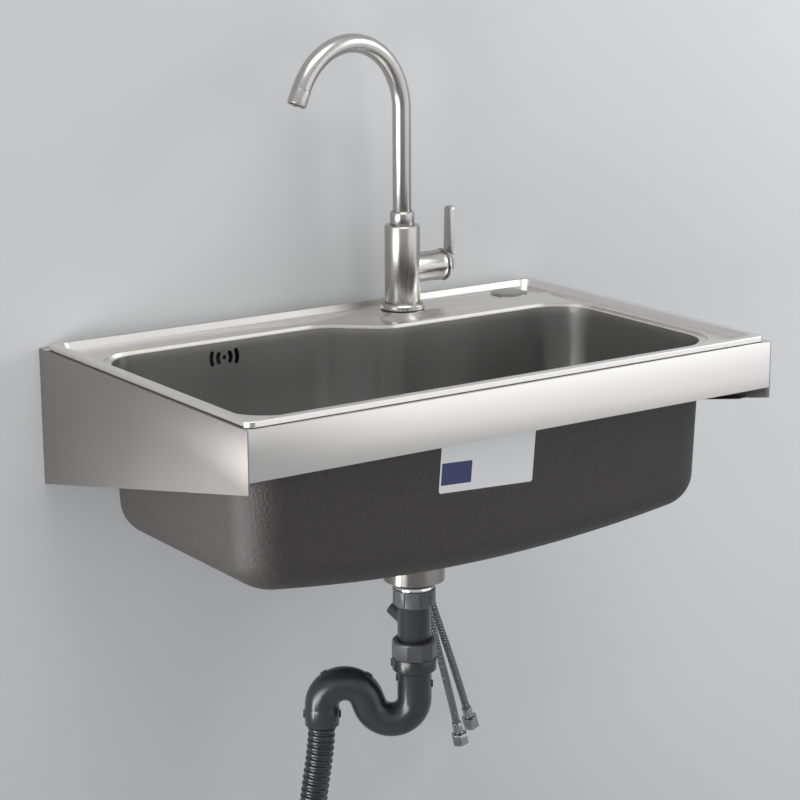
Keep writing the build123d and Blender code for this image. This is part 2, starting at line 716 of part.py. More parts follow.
# Outlet gasket and bright ring above the top nut
with BuildPart() as outlet_gasket:
    extrude(ring_plan((drain_x, drain_y), cup_bottom - outlet_gasket_t, outlet_gasket_r,
                      outlet_r + thread_gap), amount=outlet_gasket_t)
    chamfer(outlet_gasket.edges().filter_by(GeomType.CIRCLE).sort_by(SortBy.RADIUS)[-2:], length=1.0)
save(outlet_gasket.part, "outlet_gasket")
nut_top = drain_seat - top_nut_under_seat
with BuildPart() as outlet_ring:
    revolve(half_section((drain_x, drain_y, nut_top),
                         [(outlet_r + thread_gap, 0), (outlet_ring_r, 0), (outlet_ring_r, 1.2),
                          (outlet_ring_r - 1, cup_bottom - outlet_gasket_t - nut_top),
                          (outlet_r + thread_gap, cup_bottom - outlet_gasket_t - nut_top)]), axis=drain_axis)
save(outlet_ring.part, "outlet_ring")

# Tailpiece with its flange, seal and open branch, held up by the ribbed top nut
nut_low = nut_top - top_nut_height
tail_flange_low = outlet_end - tail_seal_t - tail_flange_t
with BuildPart() as top_slip_nut:
    revolve(half_section((drain_x, drain_y, 0),
                         [(outlet_r + thread_gap, nut_top), (top_nut_r - 1, nut_top), (top_nut_r, nut_top - 0.6),
                          (top_nut_r, nut_top - 2.2), (top_nut_r - 1.2, nut_top - 2.6),
                          (top_nut_r - 1.2, nut_low + 1), (top_nut_r - 2, nut_low),
                          (tail_r + slip_gap, nut_low), (tail_r + slip_gap, tail_flange_low),
                          (outlet_r + thread_gap, tail_flange_low)]), axis=drain_axis)
    with BuildSketch(Plane.XY.offset(nut_low + 1)) as ribs:
        with Locations((drain_x, drain_y)):
            with PolarLocations(top_nut_r - 1.2, top_nut_ribs, start_angle=top_nut_rib_phase):
                Rectangle(2.4, top_nut_rib_w)
    extrude(ribs.sketch, amount=top_nut_height - 3)
save(top_slip_nut.part, "top_slip_nut")
with BuildPart() as tail_seal:
    extrude(ring_plan((drain_x, drain_y), outlet_end - tail_seal_t, tail_flange_r, tail_bore_r),
            amount=tail_seal_t)
save(tail_seal.part, "tail_seal")

slip_top = nut_low - tail_run
collar_top = slip_top - slip_nut_height - moving_gap
tail_end = collar_top - tail_insertion
branch_start = Vector(drain_x, drain_y, slip_top + branch_over_slip)
branch_out = Vector(sin(radians(branch_yaw)) * cos(radians(branch_rise)),
                    cos(radians(branch_yaw)) * cos(radians(branch_rise)), sin(radians(branch_rise)))
branch_plane = Plane(origin=branch_start, z_dir=branch_out)
with BuildPart() as tailpiece:
    revolve(half_section((drain_x, drain_y, 0), [(0, tail_flange_low + tail_flange_t),
                                                 (tail_flange_r, tail_flange_low + tail_flange_t),
                                                 (tail_flange_r, tail_flange_low), (tail_r, tail_flange_low),
                                                 (tail_r, tail_end), (0, tail_end)]), axis=drain_axis)
    with BuildSketch(branch_plane) as branch:
        Circle(branch_r)
    extrude(branch.sketch, amount=branch_length)
    with BuildSketch(branch_plane) as branch_bore:
        Circle(branch_r - branch_wall)
    extrude(branch_bore.sketch, amount=branch_length, mode=Mode.SUBTRACT)
    with Locations((drain_x, drain_y, tail_end)):
        Cylinder(tail_bore_r, 2 * (nut_top - tail_end), mode=Mode.SUBTRACT)
save(tailpiece.part, "tailpiece")

# Slip nut and its sealing washer on the trap's collar
washer_top = slip_top - slip_lip_t
with BuildPart() as slip_nut:
    revolve(half_section((drain_x, drain_y, 0),
                         [(tail_r + slip_gap, slip_top), (slip_nut_r - 2.2, slip_top),
                          (slip_nut_r - 0.6, slip_top - 1.4), (slip_nut_r - 0.6, slip_top - slip_shoulder_t),
                          (tail_r + slip_gap, slip_top - slip_shoulder_t)]),
            axis=drain_axis)
    with BuildSketch(Plane.XY.offset(slip_top - slip_nut_height)) as facets:
        with Locations((drain_x, drain_y)):
            RegularPolygon(slip_nut_r, slip_nut_facets)
    extrude(facets.sketch, amount=slip_nut_height - slip_shoulder_t)
    with Locations((drain_x, drain_y, slip_top)):
        Cylinder(tail_r + slip_gap, 3 * slip_nut_height, mode=Mode.SUBTRACT)
    with Locations((drain_x, drain_y, washer_top)):
        Cylinder(collar_neck_outer + thread_gap, slip_nut_height,
                 align=(Align.CENTER, Align.CENTER, Align.MAX), mode=Mode.SUBTRACT)
save(slip_nut.part, "slip_nut")
neck_top = washer_top - slip_washer_t
with BuildPart() as slip_washer:
    revolve(half_section((drain_x, drain_y, 0),
                         [(tail_r + fit_gap, washer_top), (collar_neck_outer, washer_top),
                          (collar_neck_outer, neck_top), (tail_r + fit_gap, neck_top)]), axis=drain_axis)
save(slip_washer.part, "slip_washer")

# S-trap: collar, U-bend, cross run, return bend and socketed outlet, with small lugs on its parting line
trap_dir = Vector(-cos(radians(trap_yaw)), sin(radians(trap_yaw)), 0)
trap_plane = Plane(origin=(drain_x, drain_y, 0), x_dir=trap_dir, z_dir=trap_dir.cross(Vector(0, 0, 1)))
bend_z = slip_top - trap_leg
trap_outlet_z = bend_z - outlet_leg
bore_start = tail_end - 1.0
turn = radians(trap_turn)
cross_start = Vector(trap_bend_r - trap_bend_r * cos(turn), bend_z - trap_bend_r * sin(turn))
cross_end = cross_start + Vector(sin(turn), -cos(turn)) * trap_cross_run
arch_centre = cross_end + Vector(-cos(turn), -sin(turn)) * trap_bend_r
outlet_s = arch_centre.X + trap_bend_r
trap_outlet = Vector(drain_x, drain_y, 0) + trap_dir * outlet_s
outlet_x, outlet_y = trap_outlet.X, trap_outlet.Y
with BuildPart() as trap_bend:
    with BuildLine(trap_plane) as trap_route:
        Line((0, bore_start), (0, bend_z))
        CenterArc((trap_bend_r, bend_z), trap_bend_r, 180, trap_turn)
        Line((cross_start.X, cross_start.Y), (cross_end.X, cross_end.Y))
        CenterArc((arch_centre.X, arch_centre.Y), trap_bend_r, trap_turn, -trap_turn)
        Line((outlet_s, arch_centre.Y), (outlet_s, trap_outlet_z))
    trap_path = trap_route.wire()
    sweep(tube_section(Plane(origin=(drain_x, drain_y, bore_start), z_dir=(0, 0, -1)), trap_r, trap_bore_r),
          path=trap_path)
    revolve(half_section((drain_x, drain_y, 0),
                         [(tail_r + slip_gap, neck_top), (collar_neck_outer, neck_top),
                          (collar_neck_outer, collar_top), (collar_r, collar_top),
                          (collar_r, collar_top - collar_length), (trap_r, collar_top - collar_length - 4),
                          (trap_r - 1, collar_top - collar_length - 4), (trap_bore_r, bore_start),
                          (tail_r + slip_gap, bore_start)]), axis=drain_axis)
    revolve(half_section((outlet_x, outlet_y, trap_outlet_z),
                         [(trap_bore_r, 0), (trap_mouth_r, 0), (trap_outlet_r, trap_mouth_taper),
                          (trap_outlet_r, socket_length),
                          (trap_r, socket_length + 3), (trap_bore_r, socket_length + 3)]),
            axis=Axis((outlet_x, outlet_y, 0), (0, 0, 1)))
    arch_r = trap_bend_r + trap_r
    with BuildSketch(trap_plane.offset(-lug_t / 2)) as lugs:
        with Locations((collar_r, collar_top - collar_length / 2), (trap_r, bend_z + lug_rise_outer),
                       (-trap_r, bend_z + lug_rise_inner),
                       (outlet_s + trap_outlet_r, trap_outlet_z + lug_over_mouth),
                       (outlet_s - trap_outlet_r, trap_outlet_z + lug_over_mouth)):
            Rectangle(2 * lug_height, lug_length)
        with Locations(*[Location((arch_centre.X + arch_r * cos(radians(a)),
                                   arch_centre.Y + arch_r * sin(radians(a)), 0), (0, 0, a))
                         for a in lug_arch_angles]):
            Rectangle(2 * lug_height, lug_length)
    extrude(lugs.sketch, amount=lug_t)
save(trap_bend.part, "trap_bend")

# Corrugated drain hose hanging from the trap's socket, its seal ring and the cuff at its end
with BuildPart() as hose_seal:
    extrude(ring_plan((outlet_x, outlet_y), trap_outlet_z, trap_bore_r - fit_gap, hose_root_r + fit_gap),
            amount=hose_seal_t)
save(hose_seal.part, "hose_seal")
hose_offsets = [(0, 0, 20), (0, 0, -17), (-13.1, 0, -86), (-20.5, 1, -150), (-22.5, 2, -215),
                (-18.5, 2.5, -280), (-12.5, 1.5, -335), (-8.5, 0, -385)]
hose_points = [(outlet_x + x, outlet_y + y, trap_outlet_z + z) for x, y, z in hose_offsets]
hose_radii = arc_radii(hose_points)
print("drain hose radii", [round(r) for r in hose_radii])
with BuildLine() as drain_route:
    FilletPolyline(*hose_points, radius=hose_radii)
hose_path = drain_route.wire()
rib_count = int((hose_path.length - 2 * hose_plain_end) / rib_pitch)
stations = [(0.0, hose_root_r)]
for rib in range(rib_count):
    start = hose_plain_end + rib * rib_pitch
    stations += [(start + rib_pitch * share, radius) for share, radius in
                 ((0.08, hose_root_r), (0.3, hose_r), (0.66, hose_r), (0.88, hose_root_r))]
stations.append((hose_path.length, hose_root_r))
with BuildPart() as drain_hose:
    rings = []
    for s, radius in stations:
        here = hose_path.position_at(s, position_mode=PositionMode.LENGTH)
        ahead = hose_path.tangent_at(s, position_mode=PositionMode.LENGTH)
        steady_x = (Vector(0, 1, 0) - ahead * ahead.Y).normalized()
        with BuildSketch(Plane(origin=here, x_dir=steady_x, z_dir=ahead)) as ring:
            Circle(radius)
        rings.append(ring.sketch)
    loft(rings, ruled=True)
    with BuildSketch(Plane(origin=hose_path @ 0, x_dir=(0, 1, 0), z_dir=hose_path % 0)) as bore:
        Circle(hose_bore_r)
    sweep(bore.sketch, path=hose_path, mode=Mode.SUBTRACT)
save(drain_hose.part, "drain_hose")
print_tube("drain hose", drain_hose.part, (hose_r + hose_root_r) / 2, hose_bore_r, hose_path)

hose_end, hose_out = hose_path @ 1, hose_path % 1
cuff_outer = hose_root_r + fit_gap + cuff_wall
with BuildPart() as hose_end_cuff:
    revolve(half_section(hose_end, [(hose_root_r + fit_gap, -cuff_grip), (cuff_outer, -cuff_grip),
                                    (cuff_outer, -2), (cuff_flange_r, -2), (cuff_flange_r, 1.5),
                                    (cuff_spigot_r, 1.5), (cuff_spigot_r, cuff_length - cuff_grip - 2),
                                    (cuff_spigot_r - 1.5, cuff_length - cuff_grip),
                                    (hose_bore_r, cuff_length - cuff_grip), (hose_bore_r, 0),
                                    (hose_root_r + fit_gap, 0)],
                         along=hose_out, across=hose_out.cross(Vector(0, 1, 0)).normalized()),
            axis=Axis(hose_end, hose_out))
save(hose_end_cuff.part, "hose_end_cuff")

# Mixer tap: gasket, base ring and body with its side arm, on the raised platform
tap_centre = (tap_x, tap_y)
tap_axis = Axis((tap_x, tap_y, 0), (0, 0, 1))
body_base = tap_seat + base_gasket_t
body_top = body_base + body_height
arm_z = body_base + arm_height
ball_x = tap_x + ball_reach
ball_centre = (ball_x, tap_y, arm_z)
arm_axis = Axis(ball_centre, (1, 0, 0))
arm_face = Plane(origin=ball_centre, x_dir=(0, 1, 0), z_dir=(1, 0, 0))
section_plane = Plane(origin=ball_centre, x_dir=(0, 0, 1), z_dir=(0, 1, 0))
with BuildPart() as base_gasket:
    extrude(ring_plan(tap_centre, tap_seat, base_ring_r - 1, shank_r + thread_gap), amount=base_gasket_t)
save(base_gasket.part, "base_gasket")
with BuildPart() as base_ring:
    revolve(half_section((tap_x, tap_y, body_base),
                         [(body_r + fit_gap, 0), (base_ring_r, 0), (base_ring_r, base_ring_height - 2.5),
                          (base_ring_r - 2.5, base_ring_height), (body_r + fit_gap, base_ring_height)]),
            axis=tap_axis)
save(base_ring.part, "base_ring")
with BuildPart() as tap_body:
    extrude(ring_plan(tap_centre, body_base, body_r), amount=body_height)
    chamfer(tap_body.edges().group_by(Axis.Z)[-1], length=1.5)
    with BuildSketch(arm_face.offset(-ball_reach)) as arm:
        Circle(arm_r)
    extrude(arm.sketch, amount=ball_reach - dome_back)
    with BuildSketch(arm_face.offset(-cartridge_back)) as cartridge_bore:
        Circle(cartridge_r + fit_gap)
    extrude(cartridge_bore.sketch, amount=cartridge_back - dome_back, mode=Mode.SUBTRACT)
    inner_r, bore_r = ball_r - dome_wall, cartridge_r + fit_gap
    with BuildSketch(section_plane) as dome:
        with BuildLine():
            CenterArc((0, 0), ball_r, -degrees(acos(arm_r / ball_r)),
                      degrees(acos(arm_r / ball_r) + acos(dome_opening_r / ball_r)))
            CenterArc((0, 0), inner_r, -degrees(acos(bore_r / inner_r)),
                      degrees(acos(bore_r / inner_r) + acos(dome_opening_r / inner_r)))
            Line((dome_opening_r, ball_r * sin(acos(dome_opening_r / ball_r))),
                 (dome_opening_r, inner_r * sin(acos(dome_opening_r / inner_r))))
            Polyline((bore_r, -inner_r * sin(acos(bore_r / inner_r))), (bore_r, -dome_back),
                     (arm_r, -dome_back), (arm_r, -ball_r * sin(acos(arm_r / ball_r))))
        make_face()
    revolve(dome.sketch, axis=arm_axis)
    extrude(ring_plan(tap_centre, body_top - socket_depth, bush_r + running_gap), amount=2 * socket_depth,
            mode=Mode.SUBTRACT)
save(tap_body.part, "tap_body")

# Threaded shank through the deck, with a rubber washer, a steel washer and the nut under the platform
under_platform = tap_seat - sheet
with BuildPart() as mounting_shank:
    extrude(ring_plan(tap_centre, body_base - shank_length, shank_r), amount=shank_length)
    extrude(ring_plan(tap_centre, body_base - shank_length, shank_bore_r), amount=shank_bore_depth,
            mode=Mode.SUBTRACT)
save(mounting_shank.part, "mounting_shank")
with BuildPart() as rubber_washer:
    extrude(ring_plan(tap_centre, under_platform - washer_t, washer_r, shank_r + thread_gap), amount=washer_t)
save(rubber_washer.part, "rubber_washer")
with BuildPart() as steel_washer:
    extrude(ring_plan(tap_centre, under_platform - washer_t - steel_washer_t, washer_r, shank_r + thread_gap),
            amount=steel_washer_t)
save(steel_washer.part, "steel_washer")
shank_nut_top = under_platform - washer_t - steel_washer_t
with BuildPart() as shank_nut:
    with BuildSketch(Plane.XY.offset(shank_nut_top - shank_nut_height)) as hexagon:
        with Locations(tap_centre):
            RegularPolygon(shank_nut_r, 6)
            Circle(shank_r + thread_gap, mode=Mode.SUBTRACT)
    extrude(hexagon.sketch, amount=shank_nut_height)
save(shank_nut.part, "shank_nut")

# Valve in the arm: cartridge, turning carrier with a fork and pin, and the stem that tips in it
with BuildPart() as cartridge:
    with BuildSketch(arm_face.offset(-cartridge_back)) as disc:
        Circle(cartridge_r)
    extrude(disc.sketch, amount=cartridge_back - carrier_back - moving_gap)
save(cartridge.part, "cartridge")
with BuildPart() as valve_carrier:
    with BuildSketch(arm_face.offset(-carrier_back)) as disc:
        Circle(carrier_r)
    extrude(disc.sketch, amount=carrier_t)
    with BuildSketch(arm_face.offset(-carrier_back)) as cheeks:
        for side in (-1, 1):
            with Locations((side * (stem_half + moving_gap + cheek_t / 2), 0)):
                Rectangle(cheek_t, 2 * cheek_half)
    extrude(cheeks.sketch, amount=carrier_back + cheek_half)
    with BuildSketch(Plane(origin=ball_centre, x_dir=(1, 0, 0), z_dir=(0, -1, 0))) as pin_hole:
        Circle(pin_r + running_gap)
    extrude(pin_hole.sketch, amount=carrier_r, both=True, mode=Mode.SUBTRACT)
save(valve_carrier.part, "valve_carrier")
with BuildPart() as stem_pin:
    with BuildSketch(Plane(origin=ball_centre, x_dir=(1, 0, 0), z_dir=(0, -1, 0))) as pin:
        Circle(pin_r)
    extrude(pin.sketch, amount=stem_half + moving_gap + cheek_t, both=True)
save(stem_pin.part, "stem_pin")
with BuildPart() as valve_stem:
    with BuildSketch(arm_face.offset(-stem_tail)) as square:
        Rectangle(2 * stem_half, 2 * stem_half)
    extrude(square.sketch, amount=stem_tail + stem_reach)
    with BuildSketch(Plane(origin=ball_centre, x_dir=(1, 0, 0), z_dir=(0, -1, 0))) as pin_hole:
        Circle(pin_r + running_gap)
    extrude(pin_hole.sketch, amount=2 * stem_half, both=True, mode=Mode.SUBTRACT)
save(valve_stem.part, "valve_stem")

# Lever: domed cap over the arm's end, blade pointing up, boss on the stem, and the screw in the boss
cap_in, cap_out = ball_r + cap_gap, ball_r + cap_gap + cap_wall
screw_hole_r = lever_screw_r + fit_gap
rim_angle = 90 - cap_half_angle
with BuildPart() as lever_handle:
    with BuildSketch(section_plane) as cap:
        with BuildLine():
            CenterArc((0, 0), cap_out, rim_angle, degrees(acos(screw_hole_r / cap_out)) - rim_angle)
            CenterArc((0, 0), cap_in, rim_angle, degrees(acos(boss_r / cap_in)) - rim_angle)
            Line((cap_in * cos(radians(rim_angle)), cap_in * sin(radians(rim_angle))),
                 (cap_out * cos(radians(rim_angle)), cap_out * sin(radians(rim_angle))))
            Polyline((boss_r, cap_in * sin(acos(boss_r / cap_in))), (boss_r, boss_start),
                     (screw_hole_r, boss_start), (screw_hole_r, cap_out * sin(acos(screw_hole_r / cap_out))))
        make_face()
    revolve(cap.sketch, axis=arm_axis)
    with BuildSketch(arm_face.offset(cap_out - lever_t + 0.6)) as blade:
        with BuildLine():
            Polyline((-lever_width / 2, lever_foot), (lever_width / 2, lever_foot),
                     (lever_tip_width / 2, lever_length), (-lever_tip_width / 2, lever_length), close=True)
        make_face()
        fillet(blade.vertices().group_by(Axis.Z)[-1], radius=0.4 * lever_tip_width)
    extrude(blade.sketch, amount=lever_t)
    with BuildSketch(arm_face.offset(boss_start)) as socket:
        Rectangle(2 * (stem_half + fit_gap), 2 * (stem_half + fit_gap))
    extrude(socket.sketch, amount=stem_reach - boss_start, mode=Mode.SUBTRACT)
save(lever_handle.part, "lever_handle")
with BuildPart() as lever_screw:
    with BuildSketch(arm_face.offset(stem_reach)) as head:
        Circle(lever_screw_r)
    extrude(head.sketch, amount=cap_out - stem_reach)
    with BuildSketch(arm_face.offset(cap_out - 1.2)) as socket:
        RegularPolygon(0.6 * lever_screw_r, 6)
    extrude(socket.sketch, amount=2, mode=Mode.SUBTRACT)
save(lever_screw.part, "lever_screw")

# Swivelling spout: bent tube, bush in the body's socket, collar above the body, aerator and its insert
spout_dir = Vector(sin(radians(spout_yaw)), -cos(radians(spout_yaw)), 0)
spout_plane = Plane(origin=(tap_x, tap_y, 0), x_dir=spout_dir, z_dir=spout_dir.cross(Vector(0, 0, 1)))
spout_low = body_top - socket_depth + socket_floor_gap
bend_centre_z = bracket_top + spout_centre_height
tip_turn = radians(spout_turn)
tip_out = Vector(sin(tip_turn), cos(tip_turn))
bend_end = Vector(spout_bend_r - spout_bend_r * cos(tip_turn), bend_centre_z + spout_bend_r * sin(tip_turn))
tube_end = bend_end + tip_out * spout_tip_run
with BuildPart() as spout_tube:
    with BuildLine(spout_plane) as spout_route:
        Line((0, spout_low), (0, bend_centre_z))
        CenterArc((spout_bend_r, bend_centre_z), spout_bend_r, 180, -spout_turn)
        Line((bend_end.X, bend_end.Y), (tube_end.X, tube_end.Y))
    spout_path = spout_route.wire()
    sweep(tube_section(Plane(origin=(tap_x, tap_y, spout_low)), spout_r, spout_r - spout_wall),
          path=spout_path)
save(spout_tube.part, "spout_tube")
with BuildPart() as spout_bush:
    extrude(ring_plan(tap_centre, spout_low, bush_r, spout_r + fit_gap), amount=body_top - spout_low - 1)
save(spout_bush.part, "spout_bush")
with BuildPart() as spout_collar:
    revolve(half_section((tap_x, tap_y, body_top + moving_gap),
                         [(spout_r + fit_gap, 0), (collar_neck_r, 0), (collar_neck_r, collar_neck_height - 2),
                          (collar_neck_r - 2, collar_neck_height), (spout_r + fit_gap, collar_neck_height)]),
            axis=tap_axis)
save(spout_collar.part, "spout_collar")
tip, tip_ahead = spout_path @ 1, spout_path % 1
tip_across = tip_ahead.cross(spout_plane.z_dir).normalized()
tip_axis = Axis(tip, tip_ahead)
with BuildPart() as aerator:
    revolve(half_section(tip, [(aerator_bore_r, 0), (aerator_r - 0.5, 0), (aerator_r, 0.5),
                               (aerator_r, aerator_length - 0.8), (aerator_r - 0.8, aerator_length),
                               (aerator_bore_r, aerator_length)],
                         along=tip_ahead, across=tip_across), axis=tip_axis)
save(aerator.part, "aerator")
insert_start = Plane(origin=tip + tip_ahead * (aerator_length - insert_t - insert_recess), z_dir=tip_ahead)
with BuildPart() as aerator_insert:
    with BuildSketch(insert_start) as disc:
        Circle(aerator_bore_r - fit_gap / 2)
        for ring_r, count in ((0.3 * aerator_bore_r, 6), (0.62 * aerator_bore_r, 12)):
            with PolarLocations(ring_r, count):
                Circle(insert_hole_r, mode=Mode.SUBTRACT)
    extrude(disc.sketch, amount=insert_t)
save(aerator_insert.part, "aerator_insert")


# Braided supply hoses from the shank, each with a crimped end fitting, a seal and a union nut
def supply_hose(name, points):
    radii = arc_radii(points)
    print(name, "radii", [round(r) for r in radii])
    with BuildLine() as route:
        FilletPolyline(*points, radius=radii)
    path = route.wire()
    with BuildPart() as tube:
        sweep(tube_section(Plane(origin=path @ 0, z_dir=path % 0), supply_r, supply_bore_r), path=path)
    print_tube(name, tube.part, supply_r, supply_bore_r, path)
    end, out = path @ 1, path % 1
    across = out.cross(Vector(0, 1, 0)).normalized()
    grip = supply_r + fit_gap
    neck_low, collar_low = moving_gap + fit_gap, nut_wall + 4 * moving_gap
    seal_low = collar_low + hose_collar_t
    with BuildPart() as fitting:
        revolve(half_section(end, [(grip, -ferrule_length), (ferrule_r, -ferrule_length), (ferrule_r, neck_low),
                                   (neck_r, neck_low), (neck_r, collar_low), (hose_collar_r, collar_low),
                                   (hose_collar_r, seal_low), (supply_bore_r, seal_low), (supply_bore_r, 0),
                                   (grip, 0)], along=out, across=across), axis=Axis(end, out))
    with BuildPart() as seal:
        revolve(half_section(end, [(supply_bore_r, seal_low), (hose_collar_r, seal_low),
                                   (hose_collar_r, seal_low + hose_seal_disc_t),
                                   (supply_bore_r, seal_low + hose_seal_disc_t)],
                             along=out, across=across), axis=Axis(end, out))
    nut_start = Plane(origin=end + out * (neck_low + moving_gap), z_dir=out)
    with BuildPart() as nut:
        with BuildSketch(nut_start) as hexagon:
            RegularPolygon(hose_nut_flats / 2, 6, major_radius=False)
            Circle(neck_r + moving_gap, mode=Mode.SUBTRACT)
        extrude(hexagon.sketch, amount=hose_nut_length)
        with BuildSketch(nut_start.offset(nut_wall)) as bore:
            Circle(hose_nut_bore_r)
        extrude(bore.sketch, amount=hose_nut_length, mode=Mode.SUBTRACT)
    print(name, "nut starts at", [round(v, 3) for v in tuple(nut_start.origin)],
          "pointing", [round(v, 5) for v in tuple(out)])
    return tube.part, fitting.part, seal.part, nut.part


supply_start = body_base - shank_length + shank_bore_depth
cold_offsets = [(0, 0, 0), (0, 0, -60), (2.8, -1, -130), (7.8, -2.1, -200), (16.8, -3.7, -265),
                (27.8, -5.5, -328), (54.8, -10.5, -432), (69.1, -14.5, -492), (77, -17, -530.2)]
hot_offsets = [(0, 0, 0), (0, 0, -58), (2.6, 0.7, -125), (8.1, 1.7, -190), (17, 3.3, -260),
               (34.6, 5.3, -345), (64.6, 9.5, -418), (90.6, 13.3, -486), (105.9, 16, -528.5)]
cold_points = [(tap_x - supply_offset + x, tap_y + y, supply_start + z) for x, y, z in cold_offsets]
hot_points = [(tap_x + supply_offset + x, tap_y + y, supply_start + z) for x, y, z in hot_offsets]
cold_tube, cold_fitting, cold_seal, cold_nut = supply_hose("cold supply hose", cold_points)
hot_tube, hot_fitting, hot_seal, hot_nut = supply_hose("hot supply hose", hot_points)
save(cold_tube, "cold_supply_hose")
save(hot_tube, "hot_supply_hose")
save(cold_fitting, "cold_hose_fitting")
save(hot_fitting, "hot_hose_fitting")
with BuildPart() as hose_seals:
    add(cold_seal)
    add(hot_seal)
save(hose_seals.part, "hose_seals")
save(cold_nut, "cold_hose_nut")
save(hot_nut, "hot_hose_nut")
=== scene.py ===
# Wall-mounted sink, dressed for rendering. The sections follow the order in which a fitter puts the
# sink up: bracket, sink, overflow, strainer, trap and drain hose, mixer tap, supply hoses.
import math

import bpy
from mathutils import Euler, Matrix, Vector


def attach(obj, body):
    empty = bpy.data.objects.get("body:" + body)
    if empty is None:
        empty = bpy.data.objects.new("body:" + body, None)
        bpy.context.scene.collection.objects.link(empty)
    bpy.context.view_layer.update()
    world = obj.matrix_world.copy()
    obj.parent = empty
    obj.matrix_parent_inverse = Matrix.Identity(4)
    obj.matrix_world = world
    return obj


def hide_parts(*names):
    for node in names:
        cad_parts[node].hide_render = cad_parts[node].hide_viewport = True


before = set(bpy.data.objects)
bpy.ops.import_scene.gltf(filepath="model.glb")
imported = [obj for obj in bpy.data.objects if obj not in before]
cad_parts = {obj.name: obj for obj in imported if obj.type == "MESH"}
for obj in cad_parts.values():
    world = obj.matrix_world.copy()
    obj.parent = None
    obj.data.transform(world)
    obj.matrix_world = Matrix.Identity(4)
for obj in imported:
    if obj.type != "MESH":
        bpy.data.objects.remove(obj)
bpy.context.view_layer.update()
scene = bpy.context.scene

# Viewpoint: in front of the sink, to its left, half a metre above the deck, 2.5 m away with a long
# lens, so that the side panel, the front rail and the inside of the bowl all show.
pitch, yaw, roll = (math.radians(angle) for angle in (-13.84, -34.49, -0.30))
camera = bpy.data.objects.new("camera", bpy.data.cameras.new("camera"))
scene.collection.objects.link(camera)
camera.data.lens = 103.05
camera.data.sensor_width = 36.0
camera.data.clip_start, camera.data.clip_end = 0.05, 60.0
camera.location = (-1.41498, -2.27120, 0.62811)
aim = Euler((math.pi / 2 + pitch, 0.0, yaw)).to_matrix()
camera.rotation_euler = (aim @ Matrix.Rotation(roll, 3, "Z")).to_euler()
scene.camera = camera


# Surroundings: a matt plaster wall behind the sink, a pale floor under it, and soft studio lamps. The
# wall is clear when seen from behind, so the back of the sink can be looked at too.
def linear(code):
    """An sRGB hex colour as the linear values that a shader takes."""
    parts = [int(code[i:i + 2], 16) / 255 for i in (1, 3, 5)]
    return [c / 12.92 if c <= 0.04045 else ((c + 0.055) / 1.055) ** 2.4 for c in parts] + [1.0]


def add_node(tree, kind, values=None, links=None, **settings):
    """One node with its settings, the values of its sockets and the links into them."""
    made = tree.nodes.new(kind)
    for name, value in settings.items():
        setattr(made, name, value)
    for socket, value in (values or {}).items():
        made.inputs[socket].default_value = value
    for socket, source in (links or {}).items():
        tree.links.new(source, made.inputs[socket])
    return made


def maths(tree, operation, *terms):
    """The result of one operation on numbers and on other nodes' outputs."""
    made = add_node(tree, "ShaderNodeMath", operation=operation)
    for socket, term in zip(made.inputs, terms):
        if isinstance(term, (int, float)):
            socket.default_value = term
        else:
            tree.links.new(term, socket)
    return made.outputs[0]


def start_material(name, colour, roughness, metallic=0.0):
    """A material and its Principled shader, with the plain values set on the shader's sockets."""
    made = bpy.data.materials.new(name)
    made.use_nodes = True
    shader = made.node_tree.nodes["Principled BSDF"]
    shader.inputs["Base Color"].default_value = linear(colour)
    shader.inputs["Roughness"].default_value = roughness
    shader.inputs["Metallic"].default_value = metallic
    return made, made.node_tree, shader


plaster, tree, shader = start_material("matt_plaster", "#d3d4d5", 0.9)
clear = add_node(tree, "ShaderNodeBsdfTransparent")
facing = add_node(tree, "ShaderNodeNewGeometry")
one_sided = add_node(tree, "ShaderNodeMixShader",
                     links={0: facing.outputs["Backfacing"], 1: shader.outputs[0],
                            2: clear.outputs[0]})
tree.links.new(one_sided.outputs[0], tree.nodes["Material Output"].inputs["Surface"])
floor_level, wall_face, wall_top = -0.80, 0.0006, 3.0
wall_mesh = bpy.data.meshes.new("wall")
wall_mesh.from_pydata([(-4, wall_face, floor_level), (4, wall_face, floor_level),
                       (4, wall_face, wall_top), (-4, wall_face, wall_top)], [], [(0, 1, 2, 3)])
wall = bpy.data.objects.new("wall", wall_mesh)
floor_mesh = bpy.data.meshes.new("floor")
floor_mesh.from_pydata([(-6, -8, floor_level), (6, -8, floor_level),
                        (6, 4, floor_level), (-6, 4, floor_level)], [], [(0, 1, 2, 3)])
floor = bpy.data.objects.new("floor", floor_mesh)
for stage_piece in (wall, floor):
    scene.collection.objects.link(stage_piece)
    stage_piece.data.materials.append(plaster)

# The room lights matt surfaces evenly. The camera and mirroring surfaces see a backdrop instead, which
# is lighter above than below.
scene.view_settings.view_transform = "Standard"
world = bpy.data.worlds.new("studio")
scene.world = world
world.use_nodes = True
tree = world.node_tree
rays = add_node(tree, "ShaderNodeLightPath")
seen = maths(tree, "MAXIMUM", rays.outputs["Is Camera Ray"], rays.outputs["Is Transmission Ray"])
seen = maths(tree, "MAXIMUM", seen, rays.outputs["Is Glossy Ray"])
room = tree.nodes["Background"]
room.inputs["Color"].default_value = linear("#dcdddf")
room.inputs["Strength"].default_value = 0.42
around = add_node(tree, "ShaderNodeTexCoord")
direction = add_node(tree, "ShaderNodeSeparateXYZ", links={"Vector": around.outputs["Generated"]})
rise = add_node(tree, "ShaderNodeMapRange", values={"From Min": -1.0, "From Max": 1.0},
                links={"Value": direction.outputs["Z"]})
shade = add_node(tree, "ShaderNodeValToRGB", links={"Fac": rise.outputs[0]})
below, above = shade.color_ramp.elements
below.position, above.position = 0.36, 0.62
below.color, above.color = linear("#a5a6a8"), linear("#e6e7e9")
